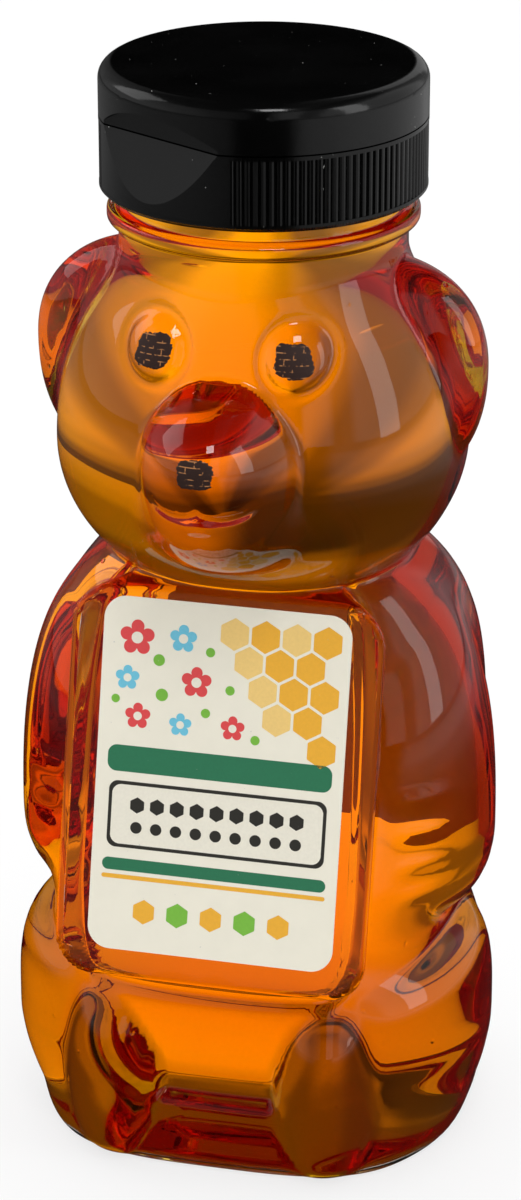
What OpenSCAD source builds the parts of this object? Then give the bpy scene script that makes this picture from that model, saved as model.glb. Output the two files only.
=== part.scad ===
// Bear-shaped squeeze bottle of honey with a ribbed flip-top cap.
// The origin is the bottom centre, +Z is up, the face looks along -Y and +X is the bear's left.
// Heights are above the table. An angle called turn runs from the front towards the bear's left.

/* [Torso] */
// Height of the crease between torso and head
shoulder_h = 82; // [76:0.5:90]
// Width of the torso
torso_w = 57.2; // [53:0.2:62]
// Depth of the back behind the axis
back_d = 23.7; // [21.5:0.1:26]
// Wall of the blown bottle
wall = 0.7; // [0.4:0.05:1.2]
// Height of the plinth that the feet stand on
plinth_h = 11.7; // [9:0.1:14]
// Width of the plinth
plinth_w = 53.8; // [50:0.1:57]
// Reach of the plinth in front of the axis
plinth_front = 26.6; // [24:0.1:28]
// Reach of the plinth behind the axis
plinth_back = 22.5; // [21:0.1:24]
// Height of the hollow pressed up into the base
push_up = 3; // [1.5:0.1:5]

/* [Arms and legs] */
// Height of the widest place of the arm
arm_z = 42.5; // [39:0.5:47]
// Distance from the axis to the middle of the arm, sideways
arm_x = 18.2; // [16.5:0.1:19.5]
// Half width of the arm
arm_w = 13.2; // [11.5:0.1:14]
// Half depth of the arm
arm_d = 15.9; // [14.5:0.1:17]
// Length of the arm below its widest place
arm_drop = 12.5; // [11:0.1:14]
// Height of the waist between arm and thigh
waist_z = 31; // [29:0.1:33]
// How far the waist is drawn in on each side
waist_in = 2.3; // [1:0.1:3.5]
// Height of the knee above the table
knee_z = 30.6; // [29:0.1:33]
// Half width of the thigh
thigh_w = 17.5; // [16.5:0.1:18.5]
// Half depth of the thigh
thigh_d = 21.8; // [20.5:0.1:23]
// Distance from the axis to the middle of the foot, sideways
foot_x = 13.8; // [12.8:0.1:14.6]
// Half width of the foot
foot_w = 7.2; // [6.2:0.1:7.8]
// Half depth of the foot
foot_d = 9.1; // [8:0.1:10.2]
// Height of the toes above the table
toe_z = 27.2; // [25.5:0.1:29]

/* [Head] */
// Height of the head from the crease to the neck bead
head_h = 40.2; // [38:0.1:45]
// Height of the skull's widest place above the crease
skull_mid = 11.7; // [10:0.1:13]
// Height of the muzzle's middle above the crease
muzzle_mid = 17.1; // [15:0.1:19]
// Height of the ears' widest place above the crease
ear_mid = 22.9; // [21:0.1:24.5]
// Height of the eyes above the crease
eye_mid = 28.3; // [27:0.1:30]
// Width of the skull
skull_w = 52.1; // [47:0.1:56]
// Depth of the skull in front of the axis
skull_front = 23.7; // [22:0.1:25.5]
// Depth of the skull behind the axis
skull_back = 23.4; // [21.5:0.1:25.5]
// Distance from the axis to the middle of the ear, sideways
ear_x = 13.7; // [12.5:0.1:15]
// Half width of the ear
ear_w = 15.5; // [14:0.1:16.5]
// Half depth of the ear
ear_d = 7.3; // [6:0.1:9]
// Reach of the muzzle in front of the axis
muzzle_reach = 34.3; // [31:0.1:36]
// Half width of the muzzle
muzzle_w = 10.7; // [9.5:0.1:12]
// Distance from the axis to the middle of the eye, sideways
eye_x = 8.9; // [8:0.1:10]
// Radius of the raised pad behind each eye
eye_pad_r = 3.6; // [3:0.1:4.4]
// Height of the raised pad behind each eye
eye_pad_h = 1; // [0.4:0.1:1.5]
// Width of a printed eye
eye_w = 4.6; // [3.6:0.1:5.2]
// Height of a printed eye
eye_h = 4; // [3:0.1:5]
// Width of the printed nose
nose_w = 4.5; // [3.4:0.1:6]
// Height of the printed nose
nose_h = 3.5; // [2.6:0.1:4.6]

/* [Label panels] */
// Width of the pressed front panel
panel_w = 43.3; // [40:0.1:45]
// Height of the panel's lower edge
panel_z = 27.7; // [25.5:0.1:31]
// Distance of the panel's upper edge below the crease
panel_drop = 3.3; // [2.5:0.1:6]
// Distance from the axis to the panel at its upper edge
panel_y = 17.1; // [16:0.1:18]
// Slope of the panel away from upright, in degrees
panel_lean = 14.06; // [12:0.1:16]
// Corner radius of the panels
panel_r = 5.9; // [4:0.1:8]
// Space between the front label and the sides of its panel
label_side = 5.6; // [4:0.1:8]
// Space between the front label and the top of its panel
label_top = 2.2; // [2:0.1:5]
// Space between the front label and the bottom of its panel
label_bottom = 4.6; // [3:0.1:8]
// Corner radius of the labels
label_r = 2.9; // [1:0.1:5]
// Thickness of a label
label_t = 0.12; // [0.08:0.01:0.3]
// Width of the back panel
back_panel_w = 39; // [35:0.5:41]
// Height of the back panel
back_panel_h = 39; // [33:0.5:43]
// Border of the back panel around its label
back_border = 4; // [3:0.5:6]

/* [Neck finish] */
// Radius of the bottle's neck under the bead
neck_r = 18.15; // [17.6:0.05:18.6]
// Reach of the neck bead outside the neck
bead_out = 1.45; // [0.9:0.05:2]
// Height of the neck bead
bead_h = 1.85; // [1.2:0.05:2.6]
// Height of the threaded neck above the bead
finish_h = 9.6; // [9.4:0.1:12]
// Radius of the neck between the threads
finish_r = 17.5; // [17.2:0.05:17.8]
// Height of the thread above the neck
thread_h = 1.15; // [0.8:0.05:1.2]
// Rise of the thread in one turn
pitch = 4.233; // [3.8:0.001:4.6]
// Wall of the threaded neck
neck_wall = 1.5; // [1.1:0.05:2.2]
// Height of the honey above the top of the bead
fill_h = 3.3; // [1:0.1:5]

/* [Cap] */
// Wall of the cap outside its bore
cap_wall = 1.55; // [1.2:0.05:2.4]
// Height of the cap's skirt below the seam
skirt_h = 9.5; // [9:0.1:9.7]
// Height of the lid above the seam
lid_h = 6.4; // [6:0.1:8]
// Visible gap at the seam
seam_gap = 0.2; // [0.1:0.05:0.4]
// Rounding of the lid's top edge
lid_round = 2; // [1:0.1:2.4]
// Wall of the lid
lid_wall = 1.4; // [1:0.1:1.8]
// Thickness of the lid's roof
lid_roof = 1.3; // [1:0.1:1.8]
// Thickness of the deck that closes the cap base
deck_t = 0.9; // [0.7:0.05:1.2]
// Number of flutes all round, if none were left out
flute_count = 128; // [96:1:140]
// Depth of a flute
flute_depth = 0.3; // [0.15:0.05:0.4]
// Direction of the thumb recess, turned from the front
recess_turn = -30; // [-45:1:0]
// Half angle of the smooth area around the thumb recess
recess_half = 33.5; // [30:0.5:40]
// Depth of the thumb recess at the seam
recess_depth = 2.5; // [1.9:0.05:2.6]
// Height of the thumb notch in the lid above the seam
notch_h = 3.4; // [2.5:0.1:4]
// Radius of the thumb notch's arch
notch_r = 18; // [15:0.5:22]
// Radius of the pouring hole
pour_r = 3.2; // [2.5:0.1:4]
// Height of the pouring spout above the deck
spout_h = 3.6; // [2.5:0.1:4]
// Width of the living hinge
strap_w = 11; // [8:0.5:14]
// Thickness of the living hinge
strap_t = 0.4; // [0.25:0.05:0.6]
// Thickness of the seal ring between lip and cap
ring_t = 0.8; // [0.5:0.05:1]
// Width of the seal ring
ring_w = 1.8; // [1.2:0.1:2.4]
// Thickness of the foil seal
foil_t = 0.1; // [0.05:0.01:0.15]

/* [Hidden] */
$fn = 96;

// Colours
clear_plastic = [0.86, 0.89, 0.9, 0.45];
honey_amber = [0.82, 0.36, 0.04];
label_cream = [0.93, 0.91, 0.85];
eye_ink = [0.1, 0.03, 0.01];
cap_black = [0.05, 0.05, 0.055];
ring_white = [0.9, 0.9, 0.88];
foil_silver = [0.75, 0.76, 0.78];

// Heights that follow from the sizes above
bead_z = shoulder_h + head_h;
bead_top_z = bead_z + bead_h;
lip_z = bead_top_z + finish_h;
panel_top_z = shoulder_h - panel_drop;
shoulder_over = 2;
torso_top_z = shoulder_h + shoulder_over;
head_z = shoulder_h + skull_mid;
muzzle_z = shoulder_h + muzzle_mid;
ear_z = shoulder_h + ear_mid;
eye_z = shoulder_h + eye_mid;
nose_up = 0.8;
nose_z = muzzle_z + nose_up;
arm_top_drop = 6.3;
arm_top_z = shoulder_h - arm_top_drop;
honey_z = bead_top_z + fill_h;

// Clearances
label_gap = 0.02;
honey_gap = 0.15;
ink_gap = 0.1;
ink_t = 0.1;
ring_gap = 0.05;
thread_gap = 0.3;
seat_gap = 0.4;
seal_gap = 0.35;

// Radii that follow from the sizes above
bead_r = neck_r + bead_out;
bore_r = finish_r - neck_wall;
cap_bore_r = finish_r + thread_h + thread_gap;
cap_seat_r = finish_r + seat_gap;
cap_r = cap_bore_r + cap_wall;
recess_y = cap_r - recess_depth;
neck_ledge = 0.4;
neck_in_r = neck_r - wall - neck_ledge;
lip_chamfer = 0.3;

// Shape of the blown body: a radius for each turn and height.
// Each part of the bear is an oval or a lobe, and the parts run into each other with a small fillet.
edge_r = 2.9;
edge_in = 1.6;
panel_edge = 1.4;
panel_sink = 1.8;
crease_fillet = 1.2;
skull_up = 31.2;
skull_down = 21.5;
skull_power = 2.3;
neck_start_z = head_z + 13.7;
neck_fillet = 3;
ear_up = 14.2;
ear_down = 18.1;
ear_y = 1.5;
ear_fillet = 0.8;
muzzle_up = 8.8;
muzzle_down = 17.1;
muzzle_taper = 0.0271;
cheek_z = muzzle_z - 3.4;
cheek_fillet = 1;
chin_z = muzzle_z - 4.4;
chin_fillet = 5;
chin_fade = 7.8;
torso_power = 2.8;
belly_z = 48.8;
belly_rise = 17.6;
chest_drop = 13.7;
hip_front = plinth_front - 2.1;
arm_y = 2.9;
arm_fillet = 0.9;
thigh_fillet = 1;
foot_fillet = 1.2;
thigh_x = 14.1;
thigh_y = 4.2;
thigh_z = 14.7;
thigh_drop = 27;
thigh_top_power = 4;
thigh_low_power = 1.6;
waist_h = 9.5;
foot_y = 20.5;
foot_z = 13.2;
foot_drop = 14.6;
plinth_round = 3.9;
plinth_draft = 0.05;
plinth_power = 3.2;
limb_power = 2.4;
front_slope = tan(panel_lean);
back_panel_y = back_d + 0.3;
back_panel_z = panel_z + 1.6;
facing = 0.28;

function smooth_max(a, b, fillet) = max(a, b) + pow(max(fillet - abs(a - b), 0), 2) / (4 * fillet);

// Share of the full width at height z, for a form whose widest place is at mid
function swell(z, mid, up, down, power) =
    pow(max(1 - pow(abs(z - mid) / (z > mid ? up : down), power), 0), 1 / power);

// Radius of an oval around the axis, along a direction with sine s and cosine c
function oval_r(s, c, side, front, back, power) =
    pow(pow(abs(s) / max(side, 0.01), power)
        + pow(abs(c) / max(c > 0 ? front : back, 0.01), power), -1 / power);

// Radius at which a ray leaves an ellipse centred x to the side and y in front of the axis
function lobe_r(s, c, x, y, width, depth) =
    let (
        w = max(width, 0.01),
        d = max(depth, 0.01),
        qa = pow(s / w, 2) + pow(c / d, 2),
        qb = s * x / (w * w) + c * y / (d * d),
        qc = pow(x / w, 2) + pow(y / d, 2) - 1,
        disc = qb * qb - qa * qc
    )
    w > 0.01 && disc > 0 && qb > 0 ? (qb + sqrt(disc)) / qa : 0;

function ease(t) = let (k = min(max(t, 0), 1)) k * k * (3 - 2 * k);

// Distance from the axis to the plane of the front panel
function front_y(z) = panel_y + front_slope * (panel_top_z - z);

function skull_r(s, c, z) =
    let (k = swell(z, head_z, skull_up, skull_down, 2))
    smooth_max(oval_r(s, c, skull_w / 2 * k, skull_front * k, skull_back * k, skull_power),
        z > neck_start_z ? neck_r : 0, neck_fillet);

function ears_r(s, c, z) =
    let (k = swell(z, ear_z, ear_up, ear_down, 2.2))
    lobe_r(abs(s), c, ear_x, ear_y, ear_w * k, ear_d * k);

function muzzle_r(s, c, z) =
    let (
        k = swell(z, muzzle_z, muzzle_up, muzzle_down, 2),
        w = muzzle_w - muzzle_taper * pow(max(z - cheek_z, 0), 2)
    )
    lobe_r(s, c, 0, muzzle_reach / 2, w * pow(k, 0.6), muzzle_reach / 2 * k);

function eye_pad(s, c, z, r, side) =
    let (off = (pow(r * s - side * eye_x, 2) + pow(z - eye_z, 2)) / pow(eye_pad_r, 2))
    c > facing ? eye_pad_h * sqrt(max(1 - off, 0)) : 0;

function head_r(s, c, z) =
    let (
        a = smooth_max(skull_r(s, c, z), ears_r(s, c, z), ear_fillet),
        chin = ease((chin_z - z) / chin_fade),
        b = smooth_max(a, muzzle_r(s, c, z), cheek_fillet + chin_fillet * chin)
    )
    b + eye_pad(s, c, z, b, -1) + eye_pad(s, c, z, b, 1);

// Share of the full width for a form that closes between two heights
function crown(z, from, to) = pow(max(1 - pow(max(z - from, 0) / (to - from), 3.4), 0), 1 / 2.4);

// How far the torso is drawn in at height z, between arm and thigh
function waist_at(z) = waist_in * pow(max(1 - pow((z - waist_z) / waist_h, 2), 0), 2);

function torso_r(s, c, z) =
    let (
        k = crown(z, belly_z, torso_top_z),
        belly = ease((z - plinth_h) / belly_rise),
        front_k = crown(z, torso_top_z - chest_drop, torso_top_z),
        front = ((front_y(z) - panel_sink) * belly + hip_front * (1 - belly)) * front_k
    )
    oval_r(s, c, torso_w / 2 * k - waist_at(z), front, back_d * k, torso_power);

function arms_r(s, c, z) =
    let (k = swell(z, arm_z, arm_top_z - arm_z, arm_drop, limb_power))
    lobe_r(abs(s), c, arm_x, arm_y, arm_w * k, arm_d * k);

function thighs_r(s, c, z) =
    let (k = swell(z, thigh_z, knee_z - thigh_z, thigh_drop,
        z > thigh_z ? thigh_top_power : thigh_low_power))
    lobe_r(abs(s), c, thigh_x, thigh_y, thigh_w * k, thigh_d * k);

function feet_r(s, c, z) =
    let (k = swell(z, foot_z, toe_z - foot_z, foot_drop, limb_power))
    lobe_r(abs(s), c, foot_x, foot_y, foot_w * k, foot_d * k);

function plinth_r(s, c, z) =
    z > plinth_h ? 0 :
    oval_r(s, c, plinth_w / 2, plinth_front - plinth_draft * z, plinth_back, plinth_power)
        * pow(max(1 - pow(max(z - plinth_h + plinth_round, 0) / plinth_round, 4), 0), 0.25);

// Depth inside a rounded rectangle, counted from its edge
function inside_panel(x, z, w, z0, z1) =
    let (
        dx = abs(x) - (w / 2 - panel_r),
        dz = abs(z - (z0 + z1) / 2) - ((z1 - z0) / 2 - panel_r)
    )
    panel_r - norm([max(dx, 0), max(dz, 0)]) - min(max(dx, dz), 0);

function edge_share(depth) = depth > 0 ? sqrt(1 - pow(max(1 - depth / panel_edge, 0), 2)) : 0;

function with_front_panel(r, s, c, z) =
    c < facing ? r :
    let (
        flat_r = front_y(z) / c,
        k = edge_share(inside_panel(flat_r * s, z, panel_w, panel_z, panel_top_z))
    )
    r + (max(flat_r, r) - r) * k;

function with_back_panel(r, s, c, z) =
    c > -facing ? r :
    let (
        flat_r = -back_panel_y / c,
        k = edge_share(inside_panel(flat_r * s, z, back_panel_w, back_panel_z,
            back_panel_z + back_panel_h))
    )
    r + (flat_r - r) * k;

function body_r(turn, z) =
    let (
        s = sin(turn),
        c = cos(turn),
        a = smooth_max(torso_r(s, c, z), arms_r(s, c, z), arm_fillet),
        b = smooth_max(a, thighs_r(s, c, z), thigh_fillet),
        d = smooth_max(b, feet_r(s, c, z), foot_fillet),
        e = smooth_max(d, plinth_r(s, c, z), foot_fillet),
        f = with_back_panel(with_front_panel(e, s, c, z), s, c, z),
        low = min(max((edge_r - z) / edge_r, 0), 1)
    )
    smooth_max(head_r(s, c, z), f, crease_fillet)
        - edge_in * (1 - sqrt(1 - low * low * 0.999));

function point_at(turn, r, z) = [r * sin(turn), -r * cos(turn), z];

// The body's mesh: rings from the table up to the inside of the bead, closer together in front.
// Some of its upright lines bend sideways to follow the edges of the two panels.
columns = 52;
half_columns = columns / 2;
front_crowd = 26;
front_line = 9;
back_line = 22;
bend_h = 8;
function plain_turn(i) = let (t = 360 * i / columns) t - front_crowd * sin(t);

function half_turns(z) =
    let (
        f = panel_w / 2,
        b = back_panel_w / 2,
        share = function (low, high)
            ease((z - low) / bend_h + 1) * ease((high - z) / bend_h + 1),
        front_share = share(panel_z, panel_top_z),
        back_share = share(back_panel_z, back_panel_z + back_panel_h),
        bend = function (i, goal, share) [i, (goal - plain_turn(i)) * share],
        front = function (x) atan(x / front_y(z)),
        back = function (x) 180 - atan(x / back_panel_y),
        bends = [
            [0, 0],
            bend(front_line, front(f - panel_edge), front_share),
            bend(front_line + 1, front(f - 0.2 * panel_edge), front_share),
            bend(front_line + 2, front(f + 0.5 * panel_edge), front_share),
            bend(back_line - 1, back(b + 0.3 * panel_edge), back_share),
            bend(back_line, back(b - panel_edge), back_share),
            [half_columns, 0]
        ]
    )
    [for (i = [0:half_columns]) plain_turn(i) + lookup(i, bends)];

function turns_at(z) =
    let (half = half_turns(z))
    concat(half, [for (i = [half_columns - 1:-1:1]) 360 - half[i]]);

function steps(from, to, count) = [for (i = [0:count - 1]) from + (to - from) * i / count];

shell_top_z = bead_z + 1;
edge_rows_h = 2.6;
rows = concat(
    [for (i = [0:2]) edge_r * pow(i / 3, 2)],
    steps(edge_r, plinth_h, 3),
    steps(plinth_h, panel_z - 1, 5),
    steps(panel_z - 1, panel_z + edge_rows_h, 3),
    steps(panel_z + edge_rows_h, panel_top_z - edge_rows_h, 12),
    steps(panel_top_z - edge_rows_h, panel_top_z + 1, 3),
    steps(panel_top_z + 1, shoulder_h + 3.5, 5),
    steps(shoulder_h + 3.5, muzzle_z + 2.5, 6),
    steps(muzzle_z + 2.5, eye_z - 1, 5),
    steps(eye_z - 1, eye_z + 5, 4),
    steps(eye_z + 5, bead_z - 1, 3),
    [bead_z - 1, shell_top_z]
);
row_count = len(rows);
turns = [for (z = rows) turns_at(z)];
outer_r = [for (j = [0:row_count - 1]) [for (t = turns[j]) body_r(t, rows[j])]];

// Slope factor: how much further a wall reaches along the radius than square to the surface
steepest = 3.5;
function slope_factor(i, j) =
    let (
        low = max(j - 1, 0),
        high = min(j + 1, row_count - 1),
        before = (i + columns - 1) % columns,
        after = (i + 1) % columns,
        span = (turns[j][after] - turns[j][before] + 720) % 360,
        rise = (outer_r[high][i] - outer_r[low][i]) / (rows[high] - rows[low]),
        swing = (outer_r[j][after] - outer_r[j][before]) / (outer_r[j][i] * span * PI / 180)
    )
    min(sqrt(1 + rise * rise + swing * swing), steepest);
slopes = [for (j = [0:row_count - 1]) [for (i = [0:columns - 1]) slope_factor(i, j)]];

function skin_ring(j, depth) =
    let (z = rows[j] < edge_r ? depth + rows[j] * (1 - depth / edge_r) : rows[j])
    [for (i = [0:columns - 1]) point_at(turns[j][i], outer_r[j][i] - depth * slopes[j][i], z)];

// Base of the body: a foot ring that stands on the table, and the hollow inside it
base_shares = [0.3, 0.6, 0.82, 0.9];
base_rises = [0.97, 0.75, 0.15, 0];
function base_ring(m, depth) =
    [for (p = skin_ring(0, depth)) [
        p[0] * base_shares[m], p[1] * base_shares[m], base_rises[m] * push_up + depth
    ]];

function skin(depth, last_row) = concat(
    [for (m = [0:3]) base_ring(m, depth)],
    [for (j = [0:last_row]) skin_ring(j, depth)]
);

function reversed(list) = [for (i = [len(list) - 1:-1:0]) list[i]];

// Closed mesh through a list of rings, with a point at each end.
// From ring flip on, the faces split along their other diagonal.
module loft(rings, first, last, flip) {
    n = len(rings[0]);
    m = len(rings);
    flip_from = is_undef(flip) ? m : flip;
    points = concat([first], [for (ring = rings) for (p = ring) p], [last]);
    faces = concat(
        [for (i = [0:n - 1]) [0, 1 + i, 1 + (i + 1) % n]],
        [for (j = [0:m - 2]) for (i = [0:n - 1]) for (upper = [0, 1])
            let (
                a = 1 + j * n + i,
                b = 1 + j * n + (i + 1) % n,
                c = b + n,
                d = a + n
            )
            j < flip_from ? (upper == 1 ? [a, d, c] : [a, c, b]) :
            upper == 1 ? [a, d, b] : [b, d, c]],
        [for (i = [0:n - 1]) [1 + (m - 1) * n + i, 1 + m * n, 1 + (m - 1) * n + (i + 1) % n]]
    );
    polyhedron(points, faces);
}

// Helical ridge with a trapezoid section. Its ends run out into the wall.
thread_root = 1.2;
thread_crest = 0.6;
cap_thread_root = 0.75;
cap_thread_crest = 0.4;
bury = 0.3;
module helix(root_r, crest_r, root_half, crest_half, first_z, first_angle, turn_count) {
    per_turn = 40;
    count = ceil(per_turn * turn_count);
    outward = crest_r > root_r;
    base_r = outward ? root_r - bury : root_r + bury;
    profile = function (share) let (top_r = base_r + (crest_r - base_r) * share)
        [[base_r, -root_half], [base_r, root_half], [top_r, crest_half], [top_r, -crest_half]];
    rings = [for (k = [0:count])
        let (
            angle = first_angle + 360 * k / per_turn,
            share = min(1, 0.1 + min(k, count - k) / 5),
            section = outward ? profile(share) : reversed(profile(share))
        )
        [for (p = section) [
            p[0] * cos(angle), p[0] * sin(angle), first_z + pitch * angle / 360 + p[1]
        ]]
    ];
    loft(rings, (rings[0][0] + rings[0][2]) / 2, (rings[count][0] + rings[count][2]) / 2);
}

// Cap heights, counted up from the lip of the bottle
ring_z = lip_z + foil_t + ring_gap;
deck_z = ring_z + ring_t + ring_gap;
deck_top_z = deck_z + deck_t;
rim_z = deck_top_z;
seam_z = rim_z + seam_gap / 2;
lid_z = seam_z + seam_gap / 2;
lid_top_z = seam_z + lid_h;
skirt_z = seam_z - skirt_h;

// Threads: the cap's ridge runs half a pitch under the bottle's
finish_turns = 0.95;
cap_turns = 0.9;
cap_thread_start = -85;
finish_thread_z = bead_top_z + 2;
cap_thread_r = finish_r + thread_gap;
cap_thread_z = finish_thread_z + pitch / 2;
ring_r = cap_seat_r - 0.3;
cap_step_z = finish_thread_z + finish_turns * pitch + thread_root + thread_gap;

module neck_finish() {
    round_r = 0.5;
    rotate_extrude()
        polygon([
            [neck_in_r, bead_z],
            [bead_r - round_r, bead_z],
            [bead_r, bead_z + round_r],
            [bead_r, bead_top_z - round_r],
            [bead_r - round_r, bead_top_z],
            [finish_r, bead_top_z],
            [finish_r, lip_z - lip_chamfer],
            [finish_r - lip_chamfer, lip_z],
            [bore_r, lip_z],
            [bore_r, bead_top_z + neck_ledge]
        ]);
}

module bottle() {
    last = row_count - 1;
    color(clear_plastic)
        union() {
            loft(concat(skin(0, last), reversed(skin(wall, last))),
                [0, 0, push_up], [0, 0, push_up + wall], last + len(base_shares) + 1);
            neck_finish();
            helix(finish_r, finish_r + thread_h, thread_root, thread_crest, finish_thread_z, 0,
                finish_turns);
        }
}

module honey() {
    depth = wall + honey_gap;
    bore_in = bore_r - 2 * honey_gap;
    neck_rings = [
        for (level = [
            [neck_in_r - 2 * honey_gap, bead_z - 2 * honey_gap],
            [bore_in, bead_top_z],
            [bore_in, honey_z]
        ])
        [for (t = turns[row_count - 1]) point_at(t, level[0], level[1])]
    ];
    color(honey_amber)
        loft(concat(skin(depth, row_count - 2), neck_rings),
            [0, 0, push_up + depth], [0, 0, honey_z]);
}

module rounded_plate(w, h, r, t) {
    linear_extrude(t)
        union() {
            square([w - 2 * r, h], center = true);
            square([w, h - 2 * r], center = true);
            for (x = [-1, 1])
                for (y = [-1, 1])
                    translate([x * (w / 2 - r), y * (h / 2 - r)])
                        circle(r);
        }
}

module front_label() {
    low = panel_z + label_bottom;
    high = panel_top_z - label_top;
    middle = (low + high) / 2;
    color(label_cream)
        translate([0, -front_y(middle) - label_gap / cos(panel_lean), middle])
            rotate([90 - panel_lean, 0, 0])
                rounded_plate(panel_w - 2 * label_side, (high - low) / cos(panel_lean), label_r,
                    label_t);
}

module back_label() {
    color(label_cream)
        translate([0, back_panel_y + label_gap, back_panel_z + back_panel_h / 2])
            rotate([90, 0, 180])
                rounded_plate(back_panel_w - 2 * back_border, back_panel_h - 2 * back_border,
                    label_r, label_t);
}

// Ink printed on the body: a thin oval skin that follows the surface
module ink_spot(turn, z, w, h) {
    steps_round = 20;
    reach = body_r(turn, z) * PI / 180;
    spot = function (share, lift) [for (k = [0:steps_round - 1])
        let (
            angle = -360 * k / steps_round,
            t = turn + w / 2 * share * cos(angle) / reach,
            y = z + h / 2 * share * sin(angle)
        )
        point_at(t, body_r(t, y) + lift, y)
    ];
    low = ink_gap;
    high = ink_gap + ink_t;
    color(eye_ink)
        loft([spot(0.4, high), spot(0.75, high), spot(1, high), spot(1, low), spot(0.75, low),
            spot(0.4, low)],
            point_at(turn, body_r(turn, z) + high, z), point_at(turn, body_r(turn, z) + low, z));
}

// Direction in which the surface lies a given distance to the side
function turn_at(x, z, tries) =
    let (guess = tries == 0 ? asin(x / skull_front) : turn_at(x, z, tries - 1))
    tries == 0 ? guess : asin(x / body_r(guess, z));
eye_turn = turn_at(eye_x, eye_z, 3);
module left_eye() { ink_spot(eye_turn, eye_z, eye_w, eye_h); }
module right_eye() { ink_spot(-eye_turn, eye_z, eye_w, eye_h); }
module nose() { ink_spot(0, nose_z, nose_w, nose_h); }

module foil_seal() {
    color(foil_silver)
        translate([0, 0, lip_z])
            cylinder(r = finish_r - lip_chamfer, h = foil_t);
}

module seal_ring() {
    color(ring_white)
        translate([0, 0, ring_z])
            difference() {
                cylinder(r = ring_r, h = ring_t);
                translate([0, 0, -1])
                    cylinder(r = ring_r - ring_w, h = ring_t + 2);
            }
}

// Outline of the fluted band, smooth near the thumb recess and near the hinge
hinge_turn = recess_turn + 180;
hinge_half = 20;
function away(t, middle) = abs((t - middle + 540) % 360 - 180);
band_r = cap_r - 0.04;
function flute_r(t, phase) =
    away(t, recess_turn) < recess_half || away(t, hinge_turn) < hinge_half ? band_r :
    band_r - flute_depth * [0, 0.2, 1, 0.2][phase];

module fluted_band(low, high) {
    translate([0, 0, low])
        linear_extrude(high - low)
            polygon([for (k = [0:flute_count - 1]) for (phase = [0:3])
                let (
                    t = 360 * (k + phase / 4) / flute_count,
                    r = flute_r(t, phase)
                )
                [r * sin(t), -r * cos(t)]
            ]);
}

// Everything further out than the thumb recess's leaning face
recess_lean = 18.2;
module recess_cut() {
    rotate([0, 0, recess_turn])
        translate([0, -recess_y, seam_z])
            rotate([-recess_lean, 0, 0])
                translate([-cap_r, -cap_r, -cap_r])
                    cube([2 * cap_r, cap_r, 2 * cap_r]);
}

module cap_base() {
    band_low = skirt_z + 0.9;
    band_high = rim_z - 0.5;
    chamfer = 0.5;
    color(cap_black)
        difference() {
            union() {
                difference() {
                    union() {
                        rotate_extrude()
                            polygon([
                                [0, skirt_z],
                                [cap_r - chamfer, skirt_z],
                                [cap_r, skirt_z + chamfer],
                                [cap_r, band_low],
                                [cap_r - 0.6, band_low + 0.1],
                                [cap_r - 0.6, band_high - 0.1],
                                [cap_r, band_high],
                                [cap_r, rim_z],
                                [0, rim_z]
                            ]);
                        fluted_band(band_low - 0.1, band_high + 0.1);
                    }
                    recess_cut();
                    rotate_extrude()
                        polygon([
                            [0, skirt_z - 1],
                            [cap_bore_r, skirt_z - 1],
                            [cap_bore_r, cap_step_z],
                            [cap_seat_r, cap_step_z + 0.5],
                            [cap_seat_r, deck_z],
                            [0, deck_z]
                        ]);
                }
                helix(cap_bore_r, cap_thread_r, cap_thread_root, cap_thread_crest, cap_thread_z,
                    cap_thread_start, cap_turns);
                spout();
            }
            translate([0, 0, deck_z - 1])
                cylinder(r = pour_r, h = deck_t + spout_h + 2);
        }
}

// Pouring spout in the middle of the deck. The lid's seal ring closes around it.
spout_wall = 1.1;
spout_r = pour_r + spout_wall;
spout_foot = 1.2;
spout_round = 0.4;
seal_depth = 1.2;
seal_wall = 0.9;
module spout() {
    rotate_extrude()
        polygon([
            [0, deck_top_z - bury],
            [spout_r + spout_foot, deck_top_z - bury],
            [spout_r, deck_top_z + spout_foot],
            [spout_r, deck_top_z + spout_h - spout_round],
            [spout_r - spout_round, deck_top_z + spout_h],
            [0, deck_top_z + spout_h]
        ]);
}

// Thumb notch: an arch across the lid's wall
module notch_cut() {
    rotate([0, 0, recess_turn])
        translate([0, -recess_y, seam_z + notch_h - notch_r])
            rotate([90, 0, 0])
                cylinder(r = notch_r, h = cap_r);
}

module lid() {
    roof_z = lid_top_z - lid_roof;
    seal_z = deck_top_z + spout_h - seal_depth;
    seal_r = spout_r + seal_gap;
    color(cap_black)
        union() {
            difference() {
                rotate_extrude()
                    union() {
                        polygon([
                            [0, lid_z],
                            [cap_r, lid_z],
                            [cap_r, lid_top_z - lid_round],
                            [cap_r - lid_round, lid_top_z - lid_round],
                            [cap_r - lid_round, lid_top_z],
                            [0, lid_top_z]
                        ]);
                        translate([cap_r - lid_round, lid_top_z - lid_round])
                            intersection() {
                                circle(lid_round);
                                square(lid_round);
                            }
                    }
                difference() {
                    translate([0, 0, lid_z - 1])
                        cylinder(r = cap_r - lid_wall, h = roof_z - lid_z + 1);
                    rotate([0, 0, recess_turn])
                        translate([-cap_r, -recess_y + lid_wall - cap_r, lid_z - 2])
                            cube([2 * cap_r, cap_r, lid_h + 4]);
                }
                notch_cut();
            }
            translate([0, 0, seal_z])
                difference() {
                    cylinder(r = seal_r + seal_wall, h = roof_z - seal_z + bury);
                    cylinder(r = seal_r, h = 2 * (roof_z - seal_z), center = true);
                }
        }
}

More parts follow.
